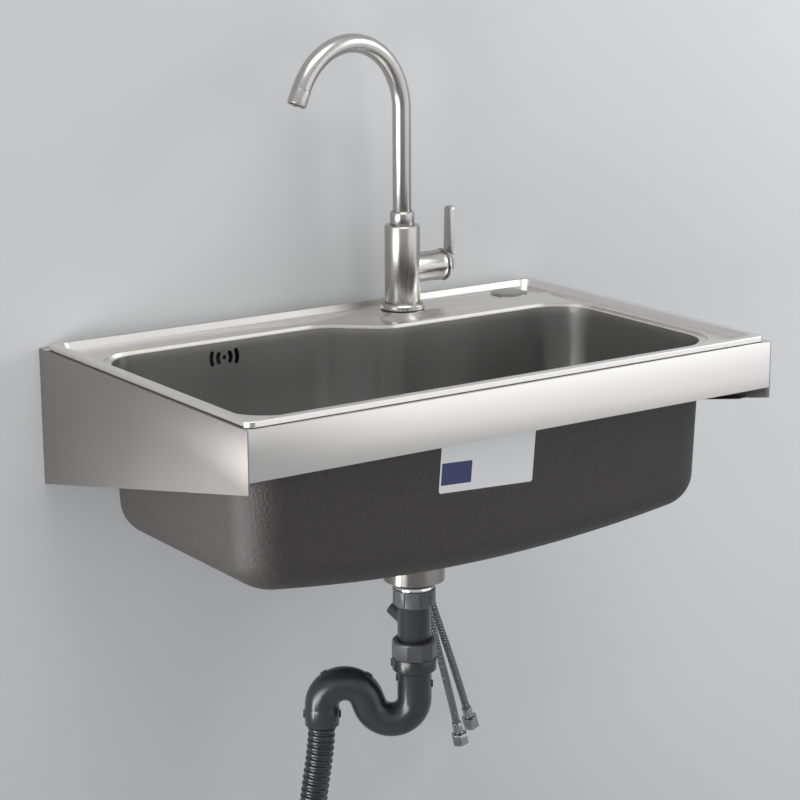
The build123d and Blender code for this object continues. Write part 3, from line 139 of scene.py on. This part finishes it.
backdrop = add_node(tree, "ShaderNodeBackground", values={"Strength": 1.0},
                    links={"Color": shade.outputs["Color"]})
sky = add_node(tree, "ShaderNodeMixShader",
               links={0: seen, 1: room.outputs[0], 2: backdrop.outputs[0]})
tree.links.new(sky.outputs[0], tree.nodes["World Output"].inputs["Surface"])


def softbox(name, place, target, width, height, watts, spread=180.0):
    """A soft lamp aimed at a target, left out of the camera's own rays."""
    lamp = bpy.data.lights.new(name, "AREA")
    lamp.shape = "RECTANGLE"
    lamp.size, lamp.size_y, lamp.energy = width, height, watts
    lamp.spread = math.radians(spread)
    holder = bpy.data.objects.new(name, lamp)
    holder.location = place
    holder.rotation_euler = (Vector(target) - Vector(place)).to_track_quat("-Z", "Y").to_euler()
    holder.visible_camera = False
    scene.collection.objects.link(holder)


softbox("key_right_front", (1.35, -1.75, 0.05), (0, -0.2, 0.05), 2.6, 1.65, 11)
softbox("fill_left", (-2.3, -0.80, -0.35), (-0.34, -0.28, -0.05), 1.2, 1.2, 5.5, 60)
softbox("strip_by_the_wall", (-1.35, -0.12, -0.38), (-0.34, -0.42, -0.02), 0.2, 1.1, 2.4, 60)
softbox("wall_wash_right", (2.0, -1.0, 1.1), (1.2, 0, 0.5), 0.9, 0.9, 6, 100)
softbox("top", (-0.2, -0.9, 2.2), (0, -0.25, 0), 1.8, 1.0, 21)


# Side panels: 1.2 mm stainless sheet, cut and folded, with a seat for the sink's rim and a flange at
# the wall. Belt-brushed to a satin finish, which spreads the light over the sheet in a soft gradient;
# the cut edges are slightly broken and catch a thin bright line.
def dress(nodes, material, bevel=0.0, sharp=32):
    """Gives CAD nodes their material, a bevel of the given width, and smooth shading up to edges
    that are sharper than the given degrees."""
    for name in nodes:
        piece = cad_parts[name]
        piece.data.materials.clear()
        piece.data.materials.append(material)
        for face in piece.data.polygons:
            face.use_smooth = True
        weld = piece.modifiers.new("weld", "WELD")
        weld.merge_threshold = 2e-6
        if bevel:
            edge = piece.modifiers.new("bevel", "BEVEL")
            edge.width, edge.segments, edge.limit_method = bevel, 2, "ANGLE"
            edge.angle_limit = math.radians(40)
        split = piece.modifiers.new("split", "EDGE_SPLIT")
        split.split_angle = math.radians(sharp)


def brushed(name, colour, roughness, groove, strength, along, patch=0.06, length=150.0, vary=0.03):
    """Steel with brushing lines along one axis, groove millimetres wide and length times as long, in
    the bump and in the roughness, and broad patches where the belt pressed more or less."""
    made, tree, shader = start_material(name, colour, roughness, 1.0)
    place = add_node(tree, "ShaderNodeTexCoord")
    fine = 1000.0 / groove
    stretch = [fine, fine, fine]
    stretch["XYZ".index(along)] = fine / length
    turned = add_node(tree, "ShaderNodeMapping", values={"Scale": stretch},
                      links={"Vector": place.outputs["Object"]})
    lines = add_node(tree, "ShaderNodeTexNoise",
                     values={"Scale": 1.0, "Detail": 3.0, "Roughness": 0.6},
                     links={"Vector": turned.outputs[0]})
    wide = add_node(tree, "ShaderNodeTexNoise", values={"Scale": 9.0, "Detail": 2.0},
                    links={"Vector": place.outputs["Object"]})
    middle = roughness - patch / 2
    fine_rough = add_node(tree, "ShaderNodeMapRange", links={"Value": lines.outputs["Fac"]},
                          values={"From Min": 0.3, "From Max": 0.7,
                                  "To Min": middle - vary, "To Max": middle + vary})
    both = maths(tree, "MULTIPLY_ADD", wide.outputs["Fac"], patch, fine_rough.outputs[0])
    tree.links.new(both, shader.inputs["Roughness"])
    bump = add_node(tree, "ShaderNodeBump", values={"Strength": strength, "Distance": 0.0001},
                    links={"Height": lines.outputs["Fac"]})
    tree.links.new(bump.outputs[0], shader.inputs["Normal"])
    return made


sheet_edge = 0.0004
# The panels' steel is painted darker than the rails' steel of the same sheet: painted shade on the
# side panels.
panel_steel_painted_shade = brushed("satin_stainless_panel_painted_shade", "#8f8c8a", 0.42, 0.6, 0.06, "Z")
dress(["left_side_panel", "right_side_panel"], panel_steel_painted_shade, sheet_edge)

# Rails: the same sheet, folded to a channel at the front and an angle at the wall, and nutted between
# the panels. The front rail is brushed along its length and mirrors the light in a broad pale band.
# The rails' steel is painted lighter than the panels' steel of the same sheet: painted light on the
# rails.
rail_steel_painted_light = brushed("satin_stainless_rail_painted_light", "#dcdad8", 0.34, 0.6, 0.05, "X")
dress(["front_rail", "rear_rail"], rail_steel_painted_light, sheet_edge)


# Frame nuts: pressed steel, zinc-plated, which leaves them bluish and a little blotchy. They clamp the
# panels' and rails' folded tabs together out of sight.
def tinted(tree, shader, size, dark, light, detail=4.0, roughness=0.5):
    """An uneven colour, from dark to light in patches of about size millimetres."""
    place = add_node(tree, "ShaderNodeTexCoord")
    patches = add_node(tree, "ShaderNodeTexNoise",
                       values={"Scale": 1000.0 / size, "Detail": detail, "Roughness": roughness},
                       links={"Vector": place.outputs["Object"]})
    tint = add_node(tree, "ShaderNodeValToRGB", links={"Fac": patches.outputs["Fac"]})
    low, high = tint.color_ramp.elements
    low.position, high.position = 0.3, 0.7
    low.color, high.color = linear(dark), linear(light)
    tree.links.new(tint.outputs["Color"], shader.inputs["Base Color"])


small_edge = 0.0002
zinc, tree, shader = start_material("zinc_plating", "#b9bdc0", 0.36, 1.0)
tinted(tree, shader, 3.3, "#a3a8ad", "#cfd2d2")
dress(["frame_nuts"], zinc, small_edge)


# Rim seal: a cord of black nitrile rubber glued under the rim. Matt, with a faint dusty mottling and
# a shallow grain.
def grained(tree, shader, size, strength, depth=0.2):
    """A grain with spots of about size millimetres that stand up to depth millimetres proud."""
    place = add_node(tree, "ShaderNodeTexCoord")
    spots = add_node(tree, "ShaderNodeTexNoise", values={"Scale": 1000.0 / size, "Detail": 3.0},
                     links={"Vector": place.outputs["Object"]})
    bump = add_node(tree, "ShaderNodeBump",
                    values={"Strength": strength, "Distance": depth / 1000.0},
                    links={"Height": spots.outputs["Fac"]})
    tree.links.new(bump.outputs[0], shader.inputs["Normal"])


rubber, tree, shader = start_material("nitrile_rubber", "#1c1b1b", 0.72)
tinted(tree, shader, 2.5, "#151414", "#292827")
grained(tree, shader, 2.5, 0.15)
dress(["rim_seal"], rubber)

# Sink: one 0.8 mm stainless sheet pressed into rim, recessed deck, tap platform and bowl, then brushed
# along its length. Below the bowl's lip the steel is painted darker than the deck: painted shade
# inside the bowl.
deck_colour, bowl_shade_colour = "#e2e0dd", "#c0c0bf"
bowl_top, deck_bottom = 0.066, 0.0755
basin_steel = brushed("pressed_stainless", deck_colour, 0.25, 0.6, 0.006, "X", 0.05, 300.0, 0.014)
tree = basin_steel.node_tree
place = add_node(tree, "ShaderNodeTexCoord")
height = add_node(tree, "ShaderNodeSeparateXYZ", links={"Vector": place.outputs["Object"]})
up_the_wall = add_node(tree, "ShaderNodeMapRange",
                       values={"From Min": bowl_top, "From Max": deck_bottom},
                       links={"Value": height.outputs["Z"]})
# Painted shade: a colour ramp by height that darkens the steel from the deck down into the bowl.
painted_bowl_shade = add_node(tree, "ShaderNodeValToRGB", links={"Fac": up_the_wall.outputs[0]})
below, above = painted_bowl_shade.color_ramp.elements
below.color, above.color = linear(bowl_shade_colour), linear(deck_colour)
tree.links.new(painted_bowl_shade.outputs["Color"], tree.nodes["Principled BSDF"].inputs["Base Color"])
dress(["sink_basin"], basin_steel, sharp=48)

# Coating: rubbery sound-deadening paint, sprayed on the bowl's outside before the sink is hung.
# Charcoal and matt, with a coarse orange peel and speckles of overspray that break up the light.
coating, tree, shader = start_material("sprayed_deadening_coating", "#3f3c3b", 0.58)
tinted(tree, shader, 4.2, "#272423", "#403d3c", 8.0, 0.8)
grained(tree, shader, 2.8, 1.0, 1.0)
dress(["bowl_coating"], coating)

# Sticker: a white film label, left blank but for a plain blue block at its lower left, stuck a little
# askew on the front of the coating. The block is turned with it.
film_colour, block_colour = "#e9eaec", "#2d3567"
askew, askew_shift = math.radians(-3.0), (0.02055, 0.0, 0.00909)
block_spans = (("X", -0.0400, 0.0195), ("Z", -0.0125, 0.0120))
film, tree, shader = start_material("label_film", film_colour, 0.42)
place = add_node(tree, "ShaderNodeTexCoord")
straight = add_node(tree, "ShaderNodeMapping", vector_type="POINT",
                    values={"Location": askew_shift, "Rotation": (0.0, askew, 0.0)},
                    links={"Vector": place.outputs["Object"]})
on_label = add_node(tree, "ShaderNodeSeparateXYZ", links={"Vector": straight.outputs[0]})
inside = []
for axis, centre, half in block_spans:
    away = maths(tree, "ABSOLUTE", maths(tree, "SUBTRACT", on_label.outputs[axis], centre))
    inside.append(maths(tree, "LESS_THAN", away, half))
paint = add_node(tree, "ShaderNodeMix", data_type="RGBA",
                 values={6: linear(film_colour), 7: linear(block_colour)},
                 links={0: maths(tree, "MULTIPLY", *inside)})
tree.links.new(paint.outputs[2], shader.inputs["Base Color"])
dress(["blank_sticker"], film)

# Spare hole's cover: a spun stainless disc on a stud, held from below by a moulded wing nut. The disc
# is glossier than the deck, and the nut is plain black ABS, slightly grained by its mould.
spun_steel = brushed("spun_stainless", "#9a9794", 0.17, 0.7, 0.03, "Z", 0.04)
black_abs, tree, shader = start_material("black_abs", "#232323", 0.45)
tinted(tree, shader, 12.0, "#1f1f1f", "#282828")
grained(tree, shader, 0.7, 0.12)
dress(["tap_hole_cover"], spun_steel)
dress(["cover_nut"], black_abs, small_edge)

# Overflow: a moulded box behind the slots, sealed by a rubber gasket and held by zinc-plated nuts on
# the studs of the bowl. Only the slots show from the front, as black gaps.
dress(["overflow_gasket"], rubber)
dress(["overflow_housing"], black_abs, small_edge)
dress(["overflow_nuts"], zinc, small_edge)

# Strainer: a spun stainless cup through the bowl's floor, sealed below by a rubber gasket and clamped
# by a large moulded locknut. Its lower part shows under the bowl, with light and dark bands down it.
dress(["strainer_body"], spun_steel)
dress(["strainer_gasket"], rubber)
dress(["strainer_locknut"], black_abs, small_edge)

# Basket: pressed and perforated stainless with a knob, and a rubber stopper below. It lifts out by
# hand, and is as glossy as its body.
dress(["strainer_basket"], spun_steel)
dress(["basket_stopper"], rubber)


# Outlet: a rubber gasket and a chromed ring above the top nut, which is ribbed grey polypropylene, a
# little lighter and duller than the pipes. The chrome is nearly a mirror, with faint finger marks.
def moulded(name, dark, light, roughness):
    """Moulded plastic: faint clouds of colour from the melt and the fine grain of the mould."""
    made, tree, shader = start_material(name, dark, roughness)
    tinted(tree, shader, 18.0, dark, light, 3.0)
    grained(tree, shader, 1.1, 0.10)
    return made


def handled(name, colour, low, high):
    """Plated metal whose gloss varies a little where it has been touched."""
    made, tree, shader = start_material(name, colour, low, 1.0)
    place = add_node(tree, "ShaderNodeTexCoord")
    marks = add_node(tree, "ShaderNodeTexNoise", values={"Scale": 180.0, "Detail": 3.0},
                     links={"Vector": place.outputs["Object"]})
    worn = add_node(tree, "ShaderNodeMapRange", values={"To Min": low, "To Max": high},
                    links={"Value": marks.outputs["Fac"]})
    tree.links.new(worn.outputs[0], shader.inputs["Roughness"])
    return made


turned_edge, pipe_edge = 0.0003, 0.0004
chrome = handled("bright_chrome", "#c9caca", 0.05, 0.14)
nut_plastic = moulded("grey_polypropylene", "#4c4e50", "#575859", 0.34)
dress(["outlet_gasket", "tail_seal"], rubber)
dress(["outlet_ring"], chrome, turned_edge)
dress(["top_slip_nut"], nut_plastic, pipe_edge)

# Tailpiece: a straight dark grey PVC pipe with an open branch, pushed into the trap and held there by
# an eight-sided slip nut over a rubber washer. Satin from the mould, so it shows a streak of light.
grey_pvc = moulded("grey_pvc", "#2a2b2e", "#313235", 0.25)
slip_pvc = moulded("grey_pvc_nut", "#454548", "#4c4c4f", 0.32)
dress(["tailpiece"], grey_pvc, pipe_edge)
dress(["slip_nut"], slip_pvc, pipe_edge)
dress(["slip_washer"], rubber)

# Trap: one S-shaped moulding of the same PVC, with a collar at its inlet, small lugs along its seam
# and a plain socket at its outlet.
dress(["trap_bend"], grey_pvc, pipe_edge)


# Drain hose: corrugated polypropylene, blown with one unbroken row of rings 7.5 mm apart. It is pushed
# into the trap's socket over a seal, hangs free, and ends in a flanged cuff. Each ring catches a short
# bright line.
def smooth_route(name, points):
    """A NURBS curve with the route's points as its control points."""
    curve = bpy.data.curves.new(name, "CURVE")
    curve.dimensions = "3D"
    curve.resolution_u = 24
    line = curve.splines.new("NURBS")
    line.points.add(len(points) - 1)
    for point, (x, y, z) in zip(line.points, points):
        point.co = (x, y, z, 1.0)
    line.order_u = 3
    line.use_endpoint_u = True
    route = bpy.data.objects.new(name, curve)
    scene.collection.objects.link(route)
    return route


def evaluated_mesh(route):
    """The mesh of a route, after its modifiers."""
    graph = bpy.context.evaluated_depsgraph_get()
    return bpy.data.meshes.new_from_object(route.evaluated_get(graph))


def points_along(route):
    """The line that the NURBS spline draws, as points."""
    return [tuple(v.co) for v in evaluated_mesh(route).vertices]


def new_group(name, inputs):
    """A geometry node tree with a geometry socket and the named inputs of a piece's sizes."""
    group = bpy.data.node_groups.new(name, "GeometryNodeTree")
    for way in ("INPUT", "OUTPUT"):
        group.interface.new_socket("Geometry", in_out=way, socket_type="NodeSocketGeometry")
    for label, kind in inputs.items():
        group.interface.new_socket(label, in_out="INPUT", socket_type="NodeSocket" + kind)
    return group, add_node(group, "NodeGroupInput"), add_node(group, "NodeGroupOutput")


def grown(name, route, group, values):
    """The mesh that a geometry node tree makes of a route, as a plain piece."""
    modifier = route.modifiers.new(name, "NODES")
    modifier.node_group = group
    for item in group.interface.items_tree:
        if item.in_out == "INPUT" and item.name in values:
            modifier[item.identifier] = values[item.name]
    piece = bpy.data.objects.new(name, evaluated_mesh(route))
    scene.collection.objects.link(piece)
    return piece


hose_plastic = moulded("corrugated_polypropylene", "#27282b", "#2f3033", 0.27)
drain_exit = (-0.09377, -0.186883, -0.342)
drain_offsets = [(0, 0, 0), (0, 0, -37), (-13.1, 0, -106), (-20.5, 1, -170), (-22.5, 2, -235),
                 (-18.5, 2.5, -300), (-12.5, 1.5, -355), (-8.5, 0, -405)]
drain_route = smooth_route("drain_route",
                           [Vector(drain_exit) + Vector(o) / 1000 for o in drain_offsets])
drain_line = points_along(drain_route)

# The rings' tree finds how far into its ring each point of the route is and reads the ring's height
# there from a curve, flat at the valley and at the crest. Both ends of the hose stay plain.
ribs, given, made = new_group("rings_along_a_hose", {
    "Pitch": "Float", "Root radius": "Float", "Crest radius": "Float", "Plain start": "Float",
    "Plain end": "Float", "Step": "Float", "Plastic": "Material"})
walked = add_node(ribs, "GeometryNodeResampleCurve", mode="LENGTH",
                  links={"Curve": given.outputs["Geometry"], "Length": given.outputs["Step"]})
along = add_node(ribs, "GeometryNodeSplineParameter").outputs["Length"]
span = add_node(ribs, "GeometryNodeSplineLength").outputs["Length"]
past = maths(ribs, "SUBTRACT", along, given.outputs["Plain start"])
wave = maths(ribs, "FRACT", maths(ribs, "DIVIDE", past, given.outputs["Pitch"]))
swell = add_node(ribs, "ShaderNodeFloatCurve", links={"Value": wave})
shape = swell.mapping.curves[0]
shape.points[0].location, shape.points[1].location = (0.0, 0.0), (1.0, 0.0)
for x, y in ((0.10, 0.02), (0.27, 0.90), (0.38, 1.0), (0.58, 1.0), (0.69, 0.90), (0.86, 0.02)):
    shape.points.new(x, y)
swell.mapping.update()
left = maths(ribs, "SUBTRACT", span, along)
ringed = maths(ribs, "MULTIPLY", maths(ribs, "GREATER_THAN", past, 0.0),
               maths(ribs, "GREATER_THAN", left, given.outputs["Plain end"]))
height = maths(ribs, "MULTIPLY", ringed, swell.outputs[0])
radius = add_node(ribs, "ShaderNodeMapRange",
                  links={"Value": height, "To Min": given.outputs["Root radius"],
                         "To Max": given.outputs["Crest radius"]})
wide = add_node(ribs, "GeometryNodeSetCurveRadius",
                links={"Curve": walked.outputs[0], "Radius": radius.outputs[0]})
circle = add_node(ribs, "GeometryNodeCurvePrimitiveCircle",
                  values={"Resolution": 48, "Radius": 1.0})
tube = add_node(ribs, "GeometryNodeCurveToMesh",
                links={"Curve": wide.outputs[0], "Profile Curve": circle.outputs[0]})
if "Scale" in tube.inputs:
    ribs.links.new(add_node(ribs, "GeometryNodeInputRadius").outputs[0], tube.inputs["Scale"])
shaded = add_node(ribs, "GeometryNodeSetShadeSmooth", links={"Geometry": tube.outputs[0]})
coloured = add_node(ribs, "GeometryNodeSetMaterial",
                    links={"Geometry": shaded.outputs[0], "Material": given.outputs["Plastic"]})
real = add_node(ribs, "GeometryNodeRealizeInstances", links={"Geometry": coloured.outputs[0]})
ribs.links.new(real.outputs[0], made.inputs["Geometry"])
drain_hose = grown("corrugated_hose", drain_route, ribs,
                   {"Pitch": 0.0075, "Root radius": 0.0139, "Crest radius": 0.0159,
                    "Plain start": 0.0215, "Plain end": 0.0215, "Step": 0.00047,
                    "Plastic": hose_plastic})
bpy.data.objects.remove(drain_route)
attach(drain_hose, "sink")
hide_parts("drain_hose")
dress(["hose_seal"], rubber)
dress(["hose_end_cuff"], grey_pvc, pipe_edge)

# Tap's foot: a base ring on a rubber gasket above the platform, and below it a threaded shank with a
# rubber and a steel washer and a large nut, tightened once.
tap_steel = brushed("brushed_tap_stainless", "#b3b1ae", 0.26, 0.5, 0.05, "Z", 0.04)
dress(["base_ring", "mounting_shank"], tap_steel, turned_edge)
dress(["base_gasket", "rubber_washer"], rubber)
dress(["steel_washer", "shank_nut"], zinc, small_edge)

# Tap's body and valve: a turned stainless body with a side arm. In the arm sit a black ABS cartridge,
# its carrier on a steel pin, and a brass stem that carries the handle.
brass, tree, shader = start_material("turned_brass", "#b5944f", 0.3, 1.0)
tinted(tree, shader, 6.0, "#a58545", "#c2a25d")
dress(["tap_body"], tap_steel, turned_edge)
dress(["cartridge", "valve_carrier"], black_abs, small_edge)
dress(["stem_pin"], zinc, small_edge)
dress(["valve_stem"], brass)

# Handle: a domed cap with a flat blade, brushed as the body is and fixed to the stem by a small
# zinc-plated screw.
dress(["lever_handle"], tap_steel, turned_edge)
dress(["lever_screw"], zinc, small_edge)

# Spout: a stainless tube bent to a gooseneck, on a black bush in the body under a turned collar, so
# that it swings. Brushed to a soft gloss; at its tip sits the aerator with an insert of dark grey
# acetal.
nozzle, tree, shader = start_material("grey_acetal", "#454647", 0.35)
tinted(tree, shader, 5.0, "#3f4041", "#4c4d4e")
dress(["spout_tube", "spout_collar", "aerator"], tap_steel, turned_edge)
dress(["spout_bush"], black_abs, small_edge)
dress(["aerator_insert"], nozzle)

# Supply hoses: black EPDM hose in a braid of bright steel wire, crimped into nickel-plated end
# fittings with swivel nuts. A real braid has some 24 bundles of finer wire; here it has 5, the finest
# that still shows as light crossings on black.
liner, tree, shader = start_material("epdm_hose", "#0b0b0b", 0.55)
tinted(tree, shader, 4.0, "#080808", "#101010")
wire = handled("braid_wire", "#a9aaab", 0.10, 0.20)
nickel = handled("nickel_plated_brass", "#a2a2a3", 0.05, 0.13)
dress(["cold_hose_fitting", "hot_hose_fitting", "cold_hose_nut", "hot_hose_nut"], nickel,
      turned_edge)
dress(["hose_seals"], rubber)

# The braid's tree copies the route once for every wire and winds the copies round it, half of them
# each way. The wires of a bundle lie side by side, and rise and sink together as they cross others.
wires_per_bundle = 3
braid, given, made = new_group("braid_over_a_hose", {
    "Bundles": "Int", "Lay": "Float", "Spread": "Float", "Radius": "Float", "Ripple": "Float",
    "Wire": "Float", "Step": "Float", "Wire material": "Material", "Hose material": "Material"})
walked = add_node(braid, "GeometryNodeResampleCurve", mode="LENGTH",
                  links={"Curve": given.outputs["Geometry"], "Length": given.outputs["Step"]})
wires = maths(braid, "MULTIPLY", given.outputs["Bundles"], wires_per_bundle)
layers = []
for way in (1.0, -1.0):
    copies = add_node(braid, "GeometryNodeDuplicateElements", domain="SPLINE",
                      links={"Geometry": walked.outputs[0], "Amount": wires})
    along = add_node(braid, "GeometryNodeSplineParameter").outputs["Length"]
    turns = maths(braid, "DIVIDE", along, given.outputs["Lay"])
    third = maths(braid, "DIVIDE", copies.outputs["Duplicate Index"], wires_per_bundle)
    bundle = maths(braid, "FLOOR", third)
    within = maths(braid, "SUBTRACT", third, bundle)
    beside = maths(braid, "MULTIPLY", within, given.outputs["Spread"])
    share = maths(braid, "ADD", maths(braid, "DIVIDE", bundle, given.outputs["Bundles"]), beside)
    angle = maths(braid, "MULTIPLY", maths(braid, "MULTIPLY_ADD", turns, way, share), math.tau)
    crossing = maths(braid, "MULTIPLY", turns, given.outputs["Bundles"])
    over = maths(braid, "SINE", maths(braid, "MULTIPLY_ADD", crossing, math.tau, share))
    out = maths(braid, "MULTIPLY_ADD", maths(braid, "MULTIPLY", over, way),
                given.outputs["Ripple"], given.outputs["Radius"])
    up = add_node(braid, "GeometryNodeInputNormal").outputs[0]
    ahead = add_node(braid, "GeometryNodeInputTangent").outputs[0]
    aside = add_node(braid, "ShaderNodeVectorMath", operation="CROSS_PRODUCT",
                     links={0: ahead, 1: up})
    first = add_node(braid, "ShaderNodeVectorMath", operation="SCALE",
                     links={0: up, "Scale": maths(braid, "COSINE", angle)})
    second = add_node(braid, "ShaderNodeVectorMath", operation="SCALE",
                      links={0: aside.outputs[0], "Scale": maths(braid, "SINE", angle)})
    ray = add_node(braid, "ShaderNodeVectorMath", operation="ADD",
                   links={0: first.outputs[0], 1: second.outputs[0]})
    reach = add_node(braid, "ShaderNodeVectorMath", operation="SCALE",
                     links={0: ray.outputs[0], "Scale": out})
    moved = add_node(braid, "GeometryNodeSetPosition",
                     links={"Geometry": copies.outputs[0], "Offset": reach.outputs[0]})
    wire_ring = add_node(braid, "GeometryNodeCurvePrimitiveCircle", values={"Resolution": 4},
                         links={"Radius": given.outputs["Wire"]})
    strand = add_node(braid, "GeometryNodeCurveToMesh",
                      links={"Curve": moved.outputs[0], "Profile Curve": wire_ring.outputs[0]})
    layers.append(add_node(braid, "GeometryNodeSetMaterial",
                           links={"Geometry": strand.outputs[0],
                                  "Material": given.outputs["Wire material"]}))
hose_ring = add_node(braid, "GeometryNodeCurvePrimitiveCircle", values={"Resolution": 24},
                     links={"Radius": given.outputs["Radius"]})
core = add_node(braid, "GeometryNodeCurveToMesh",
                links={"Curve": walked.outputs[0], "Profile Curve": hose_ring.outputs[0]})
core = add_node(braid, "GeometryNodeSetMaterial",
                links={"Geometry": core.outputs[0], "Material": given.outputs["Hose material"]})
joined = add_node(braid, "GeometryNodeJoinGeometry")
for layer in (core, *layers):
    braid.links.new(layer.outputs[0], joined.inputs[0])
shaded = add_node(braid, "GeometryNodeSetShadeSmooth", links={"Geometry": joined.outputs[0]})
real = add_node(braid, "GeometryNodeRealizeInstances", links={"Geometry": shaded.outputs[0]})
braid.links.new(real.outputs[0], made.inputs["Geometry"])

supply_routes = {
    "cold": ((0.1012, -0.0625, 0.058), 0.538,
             [(0, 0, 0), (0, 0, -60), (2.8, -1, -130), (7.8, -2.1, -200), (16.8, -3.7, -265),
              (27.8, -5.5, -328), (54.8, -10.5, -432), (69.1, -14.5, -492), (77, -17, -530.2)]),
    "hot": ((0.1124, -0.0625, 0.058), 0.5445,
            [(0, 0, 0), (0, 0, -58), (2.6, 0.7, -125), (8.1, 1.7, -190), (17, 3.3, -260),
             (34.6, 5.3, -345), (64.6, 9.5, -418), (90.6, 13.3, -486), (105.9, 16, -528.5)])}
for side, (start, length, offsets) in supply_routes.items():
    route = smooth_route(f"{side}_route", [Vector(start) + Vector(o) / 1000 for o in offsets])
    line = points_along(route)
    hose = grown(f"{side}_braided_hose", route, braid,
                 {"Bundles": 5, "Lay": 0.0210, "Spread": 0.026, "Radius": 0.00466,
                  "Ripple": 0.0001, "Wire": 0.00020, "Step": 0.0016, "Wire material": wire,
                  "Hose material": liner})
    bpy.data.objects.remove(route)
    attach(hose, "sink")
    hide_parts(f"{side}_supply_hose")
